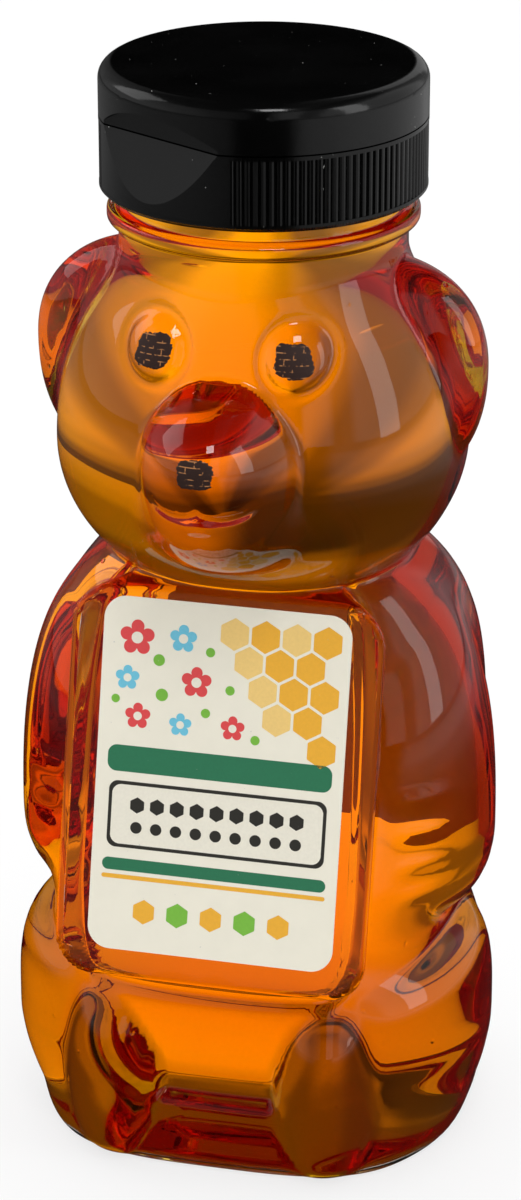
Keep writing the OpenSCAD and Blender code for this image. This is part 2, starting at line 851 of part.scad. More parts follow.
// Living hinge: a thin strap over the seam, on the outside of the cap
strap_up = 1.6;
module hinge_strap() {
    strap_in = cap_r + 0.02;
    half = asin(strap_w / 2 / cap_r);
    color(cap_black)
        rotate([0, 0, hinge_turn - 90 - half])
            translate([0, 0, seam_z - strap_up])
                rotate_extrude(angle = 2 * half)
                    translate([strap_in, 0])
                        square([strap_t, 2 * strap_up]);
}

bottle();
honey();
front_label();
back_label();
left_eye();
right_eye();
nose();
foil_seal();
seal_ring();
cap_base();
lid();
hinge_strap();
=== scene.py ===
import bpy
import numpy as np
from mathutils import Euler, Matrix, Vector


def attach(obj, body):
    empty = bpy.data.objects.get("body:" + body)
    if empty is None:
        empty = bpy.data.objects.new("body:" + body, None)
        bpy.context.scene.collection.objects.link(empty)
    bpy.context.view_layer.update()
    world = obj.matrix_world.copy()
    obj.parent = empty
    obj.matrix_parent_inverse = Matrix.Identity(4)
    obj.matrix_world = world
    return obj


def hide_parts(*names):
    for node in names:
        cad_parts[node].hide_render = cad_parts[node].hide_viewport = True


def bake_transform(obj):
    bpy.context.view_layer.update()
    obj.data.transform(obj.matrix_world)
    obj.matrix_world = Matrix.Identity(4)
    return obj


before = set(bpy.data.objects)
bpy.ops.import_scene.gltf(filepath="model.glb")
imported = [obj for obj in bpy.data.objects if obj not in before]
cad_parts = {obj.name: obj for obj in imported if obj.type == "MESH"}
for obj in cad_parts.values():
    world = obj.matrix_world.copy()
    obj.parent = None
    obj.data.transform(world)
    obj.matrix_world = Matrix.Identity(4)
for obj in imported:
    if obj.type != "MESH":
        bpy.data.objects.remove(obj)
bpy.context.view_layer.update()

bl_info = {
    "name": "Honey bear bottle",
    "version": (1, 0, 0),
    "blender": (4, 5, 0),
    "location": "View3D > Sidebar > Bottle",
    "description": "Dresses the honey bear bottle: clear body, honey, labels, printed face and cap",
    "category": "Object",
}

MM = 0.001
BEAR = "bear"


class BodySizes(bpy.types.PropertyGroup):
    """Sizes of the blown bottle, in millimetres"""
    wall: bpy.props.FloatProperty(name="Wall", description="Wall of the bottle", default=0.7)
    honey_gap: bpy.props.FloatProperty(
        name="Honey gap", description="Space between the wall and the honey's mesh", default=0.12)
    front_lines: bpy.props.IntProperty(
        name="Front lines", description="Upright mesh lines from the middle to the label panel's edge",
        default=40)
    side_lines: bpy.props.IntProperty(
        name="Side lines", description="Upright mesh lines between the two label panels", default=48)
    back_lines: bpy.props.IntProperty(
        name="Back lines", description="Upright mesh lines from the back panel's edge to its middle",
        default=22)
    body_rows: bpy.props.IntProperty(name="Rows", description="Mesh rings of the body", default=230)
    inner_rows: bpy.props.IntProperty(
        name="Inner rows", description="Mesh rings of the inner wall", default=110)


class Colours(bpy.types.PropertyGroup):
    """Colours of the bottle's pieces"""
    honey: bpy.props.FloatVectorProperty(
        name="Honey", description="Colour that honey lets through", subtype="COLOR", size=3,
        default=(0.986, 0.855, 0.0))
    honey_density: bpy.props.FloatProperty(
        name="Honey density", description="How fast honey takes the light away, per metre",
        default=240.0)
    cream: bpy.props.FloatVectorProperty(
        name="Label", description="Cream ground of the labels", subtype="COLOR", size=3,
        default=(0.86, 0.82, 0.69))
    green: bpy.props.FloatVectorProperty(
        name="Green", description="Dark green of the label's band", subtype="COLOR", size=3,
        default=(0.023, 0.195, 0.091))
    gold: bpy.props.FloatVectorProperty(
        name="Gold", description="Gold of the comb pattern", subtype="COLOR", size=3,
        default=(0.89, 0.445, 0.028))
    leaf: bpy.props.FloatVectorProperty(
        name="Leaf green", description="Light green of the label's dots", subtype="COLOR", size=3,
        default=(0.2016, 0.521, 0.0497))
    red: bpy.props.FloatVectorProperty(
        name="Red", description="Red of the label's flowers", subtype="COLOR", size=3,
        default=(0.7835, 0.0648, 0.0685))
    sky: bpy.props.FloatVectorProperty(
        name="Light blue", description="Light blue of the label's flowers", subtype="COLOR", size=3,
        default=(0.1559, 0.5647, 0.7454))
    pale_gold: bpy.props.FloatVectorProperty(
        name="Pale gold", description="Lighter cells of the comb pattern", subtype="COLOR", size=3,
        default=(0.91, 0.62, 0.2))
    charcoal: bpy.props.FloatVectorProperty(
        name="Charcoal", description="Edge of the label's blank plate", subtype="COLOR", size=3,
        default=(0.0343, 0.0319, 0.0252))
    ink: bpy.props.FloatVectorProperty(
        name="Ink", description="Brown ink of the printed eyes and nose", subtype="COLOR", size=3,
        default=(0.035, 0.010, 0.005))
    cap_black: bpy.props.FloatVectorProperty(
        name="Cap", description="Black of the cap", subtype="COLOR", size=3,
        default=(0.001, 0.001, 0.001))


class Studio(bpy.types.PropertyGroup):
    """Camera and light"""
    camera_place: bpy.props.FloatVectorProperty(
        name="Camera", description="Place of the camera", size=3, subtype="TRANSLATION",
        default=(0.12169, -0.48193, 0.27575))
    camera_turn: bpy.props.FloatProperty(
        name="Turn", description="Direction of the camera from the front, in degrees", default=14.20)
    camera_pitch: bpy.props.FloatProperty(
        name="Pitch", description="How far the camera looks down, in degrees", default=22.51)
    lens: bpy.props.FloatProperty(name="Lens", description="Focal length", default=82.993)
    floor_size: bpy.props.FloatProperty(
        name="Floor", description="Side of the floor", default=6.0, subtype="DISTANCE")


# Sizes of the blown body, in millimetres, as the solids have them
SHOULDER = 82.0
HEAD = 40.2
BEAD_Z = SHOULDER + HEAD
BEAD_H = 1.85
BEAD_TOP = BEAD_Z + BEAD_H
FINISH_H = 9.6
LIP_Z = BEAD_TOP + FINISH_H
FILL_H = 3.3
HONEY_Z = BEAD_TOP + FILL_H
NECK_R = 18.15
BEAD_R = 19.6
FINISH_R = 17.5
THREAD_H = 1.15
PITCH = 4.233
BORE_R = 16.0
PANEL_W = 43.3
PANEL_Z = 27.7
PANEL_TOP = SHOULDER - 3.3
PANEL_Y = 17.1
PANEL_SLOPE = np.tan(np.radians(14.06))
PANEL_R = 5.9
BACK_W = 39.0
BACK_Z = PANEL_Z + 1.6
BACK_H = 39.0
BACK_Y = 24.0
BACK_D = 23.7
EYE_X = 8.9
EYE_Z = SHOULDER + 28.3
NOSE_Z = SHOULDER + 17.9
LABEL_Z = 54.4
LABEL_FACE = 0.14
HINGE_TURN = np.radians(150)
HINGE_R = 20.72
HINGE_Z = 135.65
HINGE_HALF = 1.6
MUZZLE_Z = SHOULDER + 17.1
PUSH_UP = 3.0

# The print on the front label: each piece's name, colour, layer and shapes. A shape is its kind,
# its middle to the right and up the slope from the label's middle, and its half width and height.
LABEL_PRINT = (
    ("comb_cells", "gold", 0, (
        ("cell", 13.0, 19.2, 2.1, 0), ("cell", 5.0, 19.2, 2.1, 0), ("cell", 11.0, 15.74, 2.1, 0),
        ("cell", 7.0, 15.74, 2.1, 0), ("cell", 13.0, 12.28, 2.1, 0), ("cell", 9.0, 12.28, 2.1, 0),
        ("cell", 11.0, 8.82, 2.1, 0), ("cell", 13.0, 5.36, 2.1, 0),
        ("band", 0.0, -13.3, 14.6, 0.28), ("cell", -8.8, -17.6, 1.6, 0),
        ("cell", 0.0, -17.6, 1.6, 0), ("cell", 8.8, -17.6, 1.6, 0))),
    ("pale_cells", "pale_gold", 0, (
        ("cell", 9.0, 19.2, 2.1, 0), ("cell", 1.0, 19.2, 2.1, 0), ("cell", 3.0, 15.74, 2.1, 0),
        ("cell", 5.0, 12.28, 2.1, 0), ("cell", 7.0, 8.82, 2.1, 0))),
    ("red_flowers", "red", 0, (
        ("flower", -11.6, 17.6, 2.3, 0), ("flower", -3.6, 12.6, 2.0, 0),
        ("flower", -11.0, 7.6, 1.7, 0), ("flower", 1.4, 7.2, 1.6, 0))),
    ("blue_flowers", "sky", 0, (
        ("flower", -5.6, 18.0, 1.8, 0), ("flower", -12.6, 12.4, 1.6, 0),
        ("flower", -5.4, 7.0, 1.5, 0))),
    ("leaf_dots", "leaf", 0, (
        ("disc", -8.6, 15.0, 0.75, 0), ("disc", -2.0, 16.6, 0.6, 0), ("disc", -8.0, 10.6, 0.8, 0),
        ("disc", 0.8, 12.0, 0.6, 0), ("disc", -14.0, 9.6, 0.55, 0), ("disc", -2.2, 8.8, 0.6, 0),
        ("disc", 4.4, 6.0, 0.6, 0), ("cell", -4.4, -17.6, 1.6, 0), ("cell", 4.4, -17.6, 1.6, 0))),
    ("green_band", "green", 0, (("band", 0.0, 2.0, 14.6, 1.7), ("band", 0.0, -11.7, 14.6, 0.8))),
    ("plate_edge", "charcoal", 0, (("band", 0.0, -5.2, 14.2, 4.3),)),
    ("pale_middles", "cream", 1, (
        ("disc", -11.6, 17.6, 0.75, 0), ("disc", -3.6, 12.6, 0.65, 0), ("disc", -11.0, 7.6, 0.55, 0),
        ("disc", 1.4, 7.2, 0.52, 0), ("disc", -5.6, 18.0, 0.6, 0), ("disc", -12.6, 12.4, 0.52, 0),
        ("disc", -5.4, 7.0, 0.5, 0), ("band", 0.0, -5.2, 13.75, 3.85))),
    ("plate_beads", "charcoal", 2, (
        *(("cell", 2.6 * i, -3.9, 1.05, 0) for i in range(-4, 5)),
        *(("disc", 2.6 * i, -6.8, 0.75, 0) for i in range(-4, 5)))),
)

# The studio: the front and the right as the camera stands, the grey of plain light, how bright the room
# over its height looks to glass and gloss, and the floor's painted light and shade over its distance and
# direction as glass and gloss see it
STUDIO_FRONT = (0.2453, -0.9694, 0.0)
STUDIO_RIGHT = (0.9694, 0.2453, 0.0)
WORLD_LIGHT = 0.75
FLOOR_WHITE = ((0.0, 0.75), (0.5, 0.75), (1.6, 1.0), (3.0, 1.0))
# Painted shadow: to glass the floor is dark right under the bottle, white from 5 cm off and dimmer far off
FLOOR_THROUGH_PAINTED_SHADOW = ((0.0, 0.28), (0.016, 0.36), (0.035, 0.82), (0.05, 1.0), (0.4, 1.0), (0.6, 0.7),
                 (1.0, 0.3), (1.5, 0.12))
# Painted shadows: to glass the floor has a dark band on each side of the bottle, as its cast shadows
FLOOR_ASIDE_PAINTED_SHADOWS = ((-0.5, 0.6), (-0.22, 0.6), (-0.14, 0.3), (-0.1, 0.2), (-0.06, 0.22), (-0.03, 0.55),
               (0.0, 0.95), (0.035, 1.0), (0.065, 0.55), (0.095, 0.28), (0.14, 0.32), (0.24, 0.7),
               (0.5, 0.85))
# Painted shade: to gloss the floor is nearly black within 14 cm of the bottle, as its contact shadow and
# its own reflection, and brightest about half a metre off
FLOOR_GLOSS_PAINTED_SHADE = ((0.0, 0.02), (0.14, 0.03), (0.2, 0.12), (0.32, 0.5), (0.5, 1.0), (1.0, 0.9), (1.5, 0.5))
# Painted light: to gloss the floor is brighter to the right than to the left
FLOOR_SIDES_PAINTED_LIGHT = ((-1.0, 0.22), (-0.2, 0.1), (0.2, 0.15), (0.6, 0.45), (1.0, 0.6))
# Painted shade: to gloss the floor straight towards the camera is dark, as the camera's shade
FLOOR_GAP_PAINTED_SHADE = ((-1.0, 1.0), (0.9, 1.0), (0.975, 0.06), (1.0, 0.06))
ROOM_GLOSS = ((-1.0, 1.0), (0.62, 1.0), (0.74, 0.25), (1.0, 0.1))
ROOM_SIDES = ((-1.0, 0.45), (-0.8, 0.3), (-0.5, 0.15), (-0.2, 0.08), (-0.1, 0.0), (0.09, 0.0),
              (0.15, 0.38), (0.36, 0.45), (0.45, 0.15), (0.56, 0.2), (0.68, 0.55), (1.0, 0.5))
ROOM_LEFT = ((-1.0, 0.1), (0.0, 0.08), (0.22, 0.05), (0.29, 0.26), (0.36, 0.44), (0.45, 0.42),
             (0.53, 0.19), (1.0, 0.2))
ROOM_RIGHT = ((-1.0, 0.2), (0.0, 0.75), (0.08, 0.62), (0.15, 0.38), (0.32, 0.38), (0.45, 0.18), (1.0, 0.22))
ROOM_FAR_LEFT = ((-1.0, 0.08), (0.0, 0.08), (0.3, 0.09), (0.42, 0.18), (0.53, 0.13), (1.0, 0.15))
ROOM_TURN = ((-1.0, 0.0), (-0.12, 0.0), (0.12, 1.0), (1.0, 1.0))
ROOM_EDGE = ((-1.0, 0.0), (-0.42, 0.0), (-0.22, 1.0), (1.0, 1.0))


def smooth_max(a, b, fillet):
    """The larger of two radii, with a fillet where they meet."""
    return np.maximum(a, b) + np.maximum(fillet - np.abs(a - b), 0) ** 2 / (4 * fillet)


def ease(t):
    """Smooth step from 0 to 1."""
    k = np.clip(t, 0, 1)
    return k * k * (3 - 2 * k)


def swell(z, mid, up, down, power):
    """Share of the full width at height z, for a form that is widest at mid."""
    q = np.abs(z - mid) / np.where(z > mid, up, down)
    return np.maximum(1 - q ** power, 0) ** (1 / power)


def crown(z, low, high):
    """Share of the full width for a form that closes between two heights."""
    return np.maximum(1 - (np.maximum(z - low, 0) / (high - low)) ** 3.4, 0) ** (1 / 2.4)


def oval(s, c, side, front, back, power):
    """Radius of a superellipse around the axis: (x/side)^p + (y/depth)^p = 1."""
    depth = np.where(c > 0, np.maximum(front, 0.01), np.maximum(back, 0.01))
    return ((np.abs(s) / np.maximum(side, 0.01)) ** power + (np.abs(c) / depth) ** power) ** (-1 / power)


def lobe(s, c, x, y, width, depth):
    """Radius where a ray from the axis leaves an ellipse centred x to the side and y in front."""
    w = np.maximum(width, 0.01)
    d = np.maximum(depth, 0.01)
    qa = (s / w) ** 2 + (c / d) ** 2
    qb = s * x / w ** 2 + c * y / d ** 2
    qc = (x / w) ** 2 + (y / d) ** 2 - 1
    disc = qb * qb - qa * qc
    there = (w > 0.01) & (disc > 0) & (qb > 0)
    return np.where(there, (qb + np.sqrt(np.maximum(disc, 0))) / qa, 0)


def front_y(z):
    """Distance from the axis to the leaning front panel."""
    return PANEL_Y + PANEL_SLOPE * (PANEL_TOP - z)


def groove(x, half_width):
    """A smooth hump of height 1 that is half_width wide on each side."""
    return np.maximum(1 - (x / half_width) ** 2, 0) ** 2


def head_r(s, c, z):
    """The skull, a narrowing neck, two ears and a muzzle, each an oval or a lobe, with pads behind
    the eyes and a pressed mouth."""
    k = swell(z, SHOULDER + 11.7, 31.2, 21.5, 2)
    r = oval(s, c, 26.05 * k, 23.7 * k, 23.4 * k, 2.3)
    r = smooth_max(r, np.where(z > SHOULDER + 25.4, NECK_R, 0), 3)
    k = swell(z, SHOULDER + 22.9, 14.2, 18.1, 2.2)
    hollow = 1 - 0.12 * groove(z - SHOULDER - 25, 9) * groove(c - 0.3, 0.25)
    r = smooth_max(r, lobe(np.abs(s), c, 13.7, 1.5, 15.5 * k, 7.3 * k * hollow), 0.8)
    k = swell(z, MUZZLE_Z, 8.8, 17.1, 2)
    w = (10.7 - 0.0271 * np.maximum(z - MUZZLE_Z + 3.4, 0) ** 2) * k ** 0.6
    r = smooth_max(r, lobe(s, c, 0, 17.15, w, 17.15 * k), 1 + 5 * ease((MUZZLE_Z - 4.4 - z) / 7.8))
    x = r * s
    front = c > 0.28
    for side in (-1, 1):
        arc = 95.1 - 1.37 * np.sqrt(np.maximum(1 - ((x - side * 3.1) / 3.3) ** 2, 0))
        mark = 0.5 * groove(z - arc, 0.95) * (np.abs(x - side * 3.1) < 3.3)
        r = r - np.where(front, mark, 0)
    lip = 0.5 * groove(z - 92.6, 1.5) * groove(x, 3.4)
    r = r + np.where(front, lip, 0)
    for side in (-1, 1):
        off = np.hypot(r * s - side * EYE_X, z - EYE_Z)
        pad = 1.3 * np.sqrt(np.maximum(1 - (off / 3.6) ** 2, 0)) - 0.3 * groove(off - 4.4, 0.9)
        r = r + np.where(front, pad, 0)
    return r


def rounded_inside(x, z, width, low, high):
    """Depth inside a rounded rectangle, counted from its edge."""
    dx = np.abs(x) - (width / 2 - PANEL_R)
    dz = np.abs(z - (low + high) / 2) - ((high - low) / 2 - PANEL_R)
    return PANEL_R - np.hypot(np.maximum(dx, 0), np.maximum(dz, 0)) - np.minimum(np.maximum(dx, dz), 0)


def edge_share(depth):
    """Rounded edge, 1.7 mm wide, of a raised panel: the square of a sine."""
    return np.sin(np.pi / 2 * np.clip((depth + 0.3) / 1.7, 0, 1)) ** 2


def torso_r(s, c, z):
    """The belly with arms, thighs, feet and plinth, and the two flat label panels."""
    top = SHOULDER + 2
    k = crown(z, 48.8, top)
    belly = ease((z - 11.7) / 17.6)
    front = ((front_y(z) - 1.8) * belly + 24.5 * (1 - belly)) * crown(z, top - 13.7, top)
    waist = 2.3 * groove(z - 31, 9.5)
    r = oval(s, c, 28.6 * k - waist, front, BACK_D * k, 2.8)
    k = swell(z, 42.5, SHOULDER - 6.3 - 42.5, 12.5, 2.4)
    arms = lobe(np.abs(s), c, 18.2, 2.9, 13.2 * k, 15.9 * k)
    r = smooth_max(r, arms, 0.9)
    k = np.where(z > 14.7, swell(z, 14.7, 15.9, 27, 4), swell(z, 14.7, 15.9, 27, 1.6))
    r = smooth_max(r, lobe(np.abs(s), c, 14.1, 4.2, 17.5 * k, 21.8 * k), 1.0)
    k = swell(z, 13.2, 14.0, 14.6, 2.4)
    r = smooth_max(r, lobe(np.abs(s), c, 13.8, 20.5, 7.2 * k, 9.1 * k), 1.2)
    close = np.maximum(1 - (np.maximum(z - 7.8, 0) / 3.9) ** 4, 0) ** 0.25
    plinth = oval(s, c, 26.9, 26.6 - 0.05 * z, 22.5, 3.2) * close
    r = smooth_max(r, np.where(z > 11.7, 0, plinth), 1.2)
    for finger_z in (38.9, 43.0, 47.4, 52.0):
        pressed = np.where(s > 0, 0.4, 0.15) * (c > 0)
        r = r + pressed * groove(z - finger_z, 1.5) * groove(np.abs(s) - 0.83, 0.09)
    cc = np.maximum(c, 0.2)
    flat = front_y(z) / cc
    depth = rounded_inside(flat * s, z, PANEL_W, PANEL_Z, PANEL_TOP)
    in_front = c > 0.25
    r = np.where(in_front, r + (np.maximum(flat, r) - r) * edge_share(depth), r)
    rim = 0.7 * groove(depth + 1.0, 1.5) * (z > PANEL_Z - 4) * (z < PANEL_TOP + 3)
    r = r - np.where(in_front, rim, 0)
    cc = np.maximum(-c, 0.2)
    flat = BACK_Y / cc
    depth = rounded_inside(flat * s, z, BACK_W, BACK_Z, BACK_Z + BACK_H)
    r = np.where(c < -0.25, r + (flat - r) * edge_share(depth), r)
    return r


def body_r(turn, z):
    """Radius of the bottle at a turn from the front, in radians, and a height."""
    s = np.sin(turn)
    c = np.cos(turn)
    r = smooth_max(head_r(s, c, z), torso_r(s, c, z), 1.2)
    low = np.clip((2.9 - z) / 2.9, 0, 1)
    return r - 1.6 * (1 - np.sqrt(1 - low * low * 0.999))


def grid_points(r, turn, z):
    """Points at radius r, turn and height z, in metres."""
    return np.stack([r * np.sin(turn), -r * np.cos(turn), z + 0 * r], axis=-1) * MM


def loft_parts(rings, first, last):
    """Points, corners and face sizes of a closed surface through rings of points, with a pole at
    each end. Its faces look outwards when the rings run anticlockwise seen against their direction
    of travel."""
    m, n = rings.shape[:2]
    points = np.concatenate([[first], rings.reshape(-1, 3), [last]])
    i = np.arange(n)
    nxt = (i + 1) % n
    j = np.arange(m - 1)[:, None] * n + 1
    quads = np.stack([j + i, j + nxt, j + nxt + n, j + i + n], axis=-1).reshape(-1, 4)
    end = 1 + (m - 1) * n
    fan_a = np.stack([0 * i, 1 + nxt, 1 + i], axis=-1)
    fan_b = np.stack([0 * i + len(points) - 1, end + i, end + nxt], axis=-1)
    loops = np.concatenate([fan_a.ravel(), quads.ravel(), fan_b.ravel()])
    sizes = np.concatenate([np.full(n, 3), np.full(len(quads), 4), np.full(n, 3)])
    return points, loops, sizes


def new_piece(name, parts, smooth=True):
    """One object from the points, corners and face sizes of several closed surfaces."""
    counts = [len(part[0]) for part in parts]
    shifts = np.concatenate([[0], np.cumsum(counts)[:-1]])
    points = np.concatenate([part[0] for part in parts])
    loops = np.concatenate([part[1] + shift for part, shift in zip(parts, shifts)])
    sizes = np.concatenate([part[2] for part in parts])
    mesh = bpy.data.meshes.new(name)
    mesh.vertices.add(len(points))
    mesh.vertices.foreach_set("co", points.astype(np.float32).ravel())
    mesh.loops.add(len(loops))
    mesh.loops.foreach_set("vertex_index", loops.astype(np.int32))
    mesh.polygons.add(len(sizes))
    starts = np.concatenate([[0], np.cumsum(sizes)[:-1]])
    mesh.polygons.foreach_set("loop_start", starts.astype(np.int32))
    mesh.polygons.foreach_set("use_smooth", np.full(len(sizes), smooth))
    mesh.update(calc_edges=True)
    mesh.validate()
    piece = bpy.data.objects.new(name, mesh)
    bpy.context.scene.collection.objects.link(piece)
    return piece


def loft_mesh(name, rings, first, last):
    """One object from a single loft."""
    return new_piece(name, [loft_parts(rings, first, last)])


def crowded(share, near, far):
    """Share of a span, 0 to 1, with its points closer together at its near and far end."""
    return share + (far - near) * np.sin(np.pi * share) / (2 * np.pi) \
        - (near + far) * np.sin(2 * np.pi * share) / (4 * np.pi)


def turns_of(sizes, z):
    """Turns of the upright mesh lines at height z. On each side one line runs along the front
    panel's edge and one along the back panel's, and the lines stand closer together beside them,
    but evenly on the head."""
    edge = np.arctan(PANEL_W / 2 / front_y(np.clip(z, PANEL_Z, PANEL_TOP)))
    edge = edge + (0.75 - edge) * ease((z - PANEL_TOP) / 8)
    back = np.pi - np.arctan(BACK_W / 2 / BACK_Y) + 0 * z
    close = 0.8 * (1 - ease((z - PANEL_TOP) / 6))
    share = np.arange(sizes.front_lines) / sizes.front_lines
    front = edge * crowded(share, 0, close)
    share = np.arange(sizes.side_lines) / sizes.side_lines
    side = edge + (back - edge) * crowded(share, close, close)
    share = np.arange(sizes.back_lines) / sizes.back_lines
    rear = back + (np.pi - back) * crowded(share, close, 0)
    half = np.concatenate([front, side, rear], axis=1)
    return np.concatenate([half, half[:, :1] + np.pi, 2 * np.pi - half[:, :0:-1]], axis=1)


def rows_of(count, top):
    """Heights of the mesh rings up to top, closer together where the body turns sharply."""
    z = np.linspace(0, top, 3000)
    near = sum(np.exp(-((z - mid) / wide) ** 2) for mid, wide in (
        (0.8, 1.6), (11.2, 1.6), (28.3, 1.6), (68, 1.2), (78.2, 1.6), (82.5, 1.6), (94, 6),
        (108, 6), (119, 2)))
    count_at = np.cumsum(0.5 + near)
    return np.interp(np.linspace(count_at[0], count_at[-1], count), count_at, z)


def inset(r, turn, z, depth):
    """Radius of a surface that lies depth inside the body: the radius less depth, times how much
    further a wall reaches along the radius than square to the surface."""
    step = 0.4
    rise = (body_r(turn, z + step) - body_r(turn, np.maximum(z - step, 0))) / (2 * step)
    swing = (body_r(turn + 0.02, z) - body_r(turn - 0.02, z)) / (0.04 * r)
    return r - depth * np.minimum(np.sqrt(1 + rise ** 2 + swing ** 2), 3.5)


def base_rings(ring, depth):
    """Rings of the base, from the pressed-up middle to the foot ring."""
    shares = np.array([0.15, 0.3, 0.45, 0.6, 0.72, 0.8, 0.86, 0.92, 0.96])
    rises = np.array([0.99, 0.97, 0.88, 0.72, 0.42, 0.16, 0.03, 0.0, 0.0])
    rings = ring[None] * shares[:, None, None]
    rings[:, :, 2] = (rises * PUSH_UP + depth)[:, None] * MM
    return rings


def thread_r(turn, z):
    """Height of the helical thread above the neck: a trapezoid that runs round 0.95 turns."""
    angle = np.degrees(turn) - 90
    best = 0 * turn + 0 * z
    for k in (-1, 0, 1):
        a = angle + 360 * k
        share = np.clip(np.minimum(a, 342 - a) / 30, 0, 1)
        off = np.abs(z - (BEAD_TOP + 2 + PITCH * a / 360))
        best = np.maximum(best, share * np.clip((1.2 - off) / 0.6, 0, 1))
    return THREAD_H * best


def bottle_rings(sizes):
    """All rings of the clear bottle: base, body, bead, threaded finish, lip, bore and inner wall."""
    z = rows_of(sizes.body_rows, BEAD_Z)[:, None]
    turn = turns_of(sizes, z)
    outer = grid_points(body_r(turn, z), turn, z)
    turn = turn[-1:]
    corner = np.radians(np.linspace(0, 90, 6))
    bead = [(BEAD_R - 0.6 + 0.6 * np.sin(a), BEAD_Z + 0.6 - 0.6 * np.cos(a)) for a in corner]
    bead += [(BEAD_R - 0.6 + 0.6 * np.cos(a), BEAD_TOP - 0.6 + 0.6 * np.sin(a)) for a in corner]
    bead = np.array(bead)
    bead_grid = grid_points(bead[:, 0:1] + 0 * turn, turn, bead[:, 1:2])
    z = np.linspace(BEAD_TOP, LIP_Z - 0.4, 40)[:, None]
    finish = grid_points(FINISH_R + thread_r(turn, z), turn, z)
    lip = np.array([
        (FINISH_R - 0.12, LIP_Z - 0.12), (FINISH_R - 0.4, LIP_Z), (BORE_R + 0.3, LIP_Z),
        (BORE_R, LIP_Z - 0.3), (BORE_R, BEAD_TOP + 2), (BORE_R, BEAD_TOP),
        (BORE_R + 0.3, BEAD_Z), (NECK_R - sizes.wall - 0.2, BEAD_Z - 1.2)])
    lip_grid = grid_points(lip[:, 0:1] + 0 * turn, turn, lip[:, 1:2])
    inner = inner_grid(sizes, sizes.wall)[::-1]
    return outer, bead_grid, finish, lip_grid, inner


def inner_grid(sizes, depth):
    """Rings that lie depth inside the body, from the base to just under the bead."""
    z = rows_of(sizes.inner_rows, BEAD_Z - 2)[:, None]
    turn = turns_of(sizes, z)
    r = inset(body_r(turn, z), turn, z, depth)
    lifted = np.where(z < 2.9, depth + z * (1 - depth / 2.9), z)
    return grid_points(r, turn, lifted)


def make_bottle(sizes):
    """The clear bottle as one closed shell. Faces that honey wets have a material of their own."""
    outer, bead, finish, lip, inner = bottle_rings(sizes)
    rings = np.concatenate([base_rings(outer[0], 0), outer, bead, finish, lip, inner,
                            base_rings(inner[-1], sizes.wall)[::-1]])
    piece = loft_mesh("bottle_shell", rings, (0, 0, PUSH_UP * MM),
                      (0, 0, (PUSH_UP + sizes.wall) * MM))
    dry = len(base_rings(outer[0], 0)) + len(outer) + len(bead) + len(finish) + 4
    piece.data.materials.append(clear_plastic())
    piece.data.materials.append(wetted_plastic())
    index = np.zeros(len(piece.data.polygons), np.int32)
    index[outer.shape[1] * (1 + dry):] = 1
    piece.data.polygons.foreach_set("material_index", index)
    return piece


def make_honey(sizes):
    """The honey as one closed body just inside the bottle's inner wall."""
    depth = sizes.wall + sizes.honey_gap
    body = inner_grid(sizes, depth)
    turn = turns_of(sizes, np.array([[BEAD_Z]]))
    neck = np.array([
        (NECK_R - depth - 0.2, BEAD_Z - 1.2), (BORE_R + 0.27, BEAD_Z), (BORE_R - 0.02, BEAD_TOP),
        (BORE_R - 0.02, HONEY_Z), (BORE_R * 0.5, HONEY_Z)])
    neck_grid = grid_points(neck[:, 0:1] + 0 * turn, turn, neck[:, 1:2])
    rings = np.concatenate([base_rings(body[0], depth), body, neck_grid])
    piece = loft_mesh("honey_fill", rings, (0, 0, (PUSH_UP + depth) * MM), (0, 0, HONEY_Z * MM))
    piece.data.materials.append(honey_stuff())
    return piece


def make_spot(name, x, z, width, height, seed):
    """A printed spot: a thin skin on the surface, a superellipse with a slightly ragged outline."""
    rng = np.random.default_rng(seed)
    angle = -np.linspace(0, 2 * np.pi, 72, endpoint=False)
    ragged = 1 + 0.04 * np.sin(5 * angle + rng.uniform(0, 6)) + 0.03 * rng.standard_normal(72)
    ragged = ragged * (np.abs(np.cos(angle)) ** 3.5 + np.abs(np.sin(angle)) ** 3.5) ** (-1 / 3.5)
    turn = x / 22.0
    for _ in range(4):
        turn = np.arcsin(x / body_r(np.array(turn), np.array(z)))
    reach = float(body_r(np.array(turn), np.array(z)))
    shares = np.array([0.2, 0.4, 0.6, 0.8, 0.92, 1.0])[:, None]
    t = turn + width / 2 * shares * ragged * np.cos(angle) / reach
    h = z + height / 2 * shares * ragged * np.sin(angle)
    r = body_r(t, h)
    high = grid_points(r + 0.05, t, h)
    low = grid_points(r + 0.02, t, h)[::-1]
    middle = float(body_r(np.array(turn), np.array(z)))
    poles = [grid_points(np.array(middle + lift), np.array(turn), np.array(z)) for lift in (0.05, 0.02)]
    piece = loft_mesh(name, np.concatenate([high, low]), poles[0], poles[1])
    piece.data.materials.append(printed_ink())
    return piece


def label_point(u, v, lift):
    """Points over the leaning front label: u to the right, v up its slope and lift off the panel."""
    lean = np.arctan(PANEL_SLOPE)
    y = -front_y(LABEL_Z) + v * np.sin(lean) - lift * np.cos(lean)
    z = LABEL_Z + v * np.cos(lean) + lift * np.sin(lean)
    return np.stack([u + 0 * y, y, z], axis=-1) * MM


def print_outline(kind, a, b):
    """Outline of a printed shape around its middle. A cell is a hexagon, a cos 30 / cos(angle folded
    to 30 each way). A flower has five petals, a (0.58 + 0.42 |cos 2.5 angle|^0.7). A band is a
    rectangle with half sizes a and b and corners rounded to b, or 1.2 at most. A disc is round."""
    angle = -np.linspace(0, 2 * np.pi, 80, endpoint=False)
    across, up = np.cos(angle), np.sin(angle)
    if kind == "band":
        corner = min(b, 1.2)
        return ((a - corner) * np.sign(across) + corner * across,
                (b - corner) * np.sign(up) + corner * up)
    if kind == "cell":
        sixth = np.pi / 3
        r = a * np.cos(sixth / 2) / np.cos((angle - np.pi / 2) % sixth - sixth / 2)
    elif kind == "flower":
        r = a * (0.58 + 0.42 * np.abs(np.cos(2.5 * (angle - np.pi / 2))) ** 0.7)
    else:
        r = a + 0 * angle
    return r * across, r * up


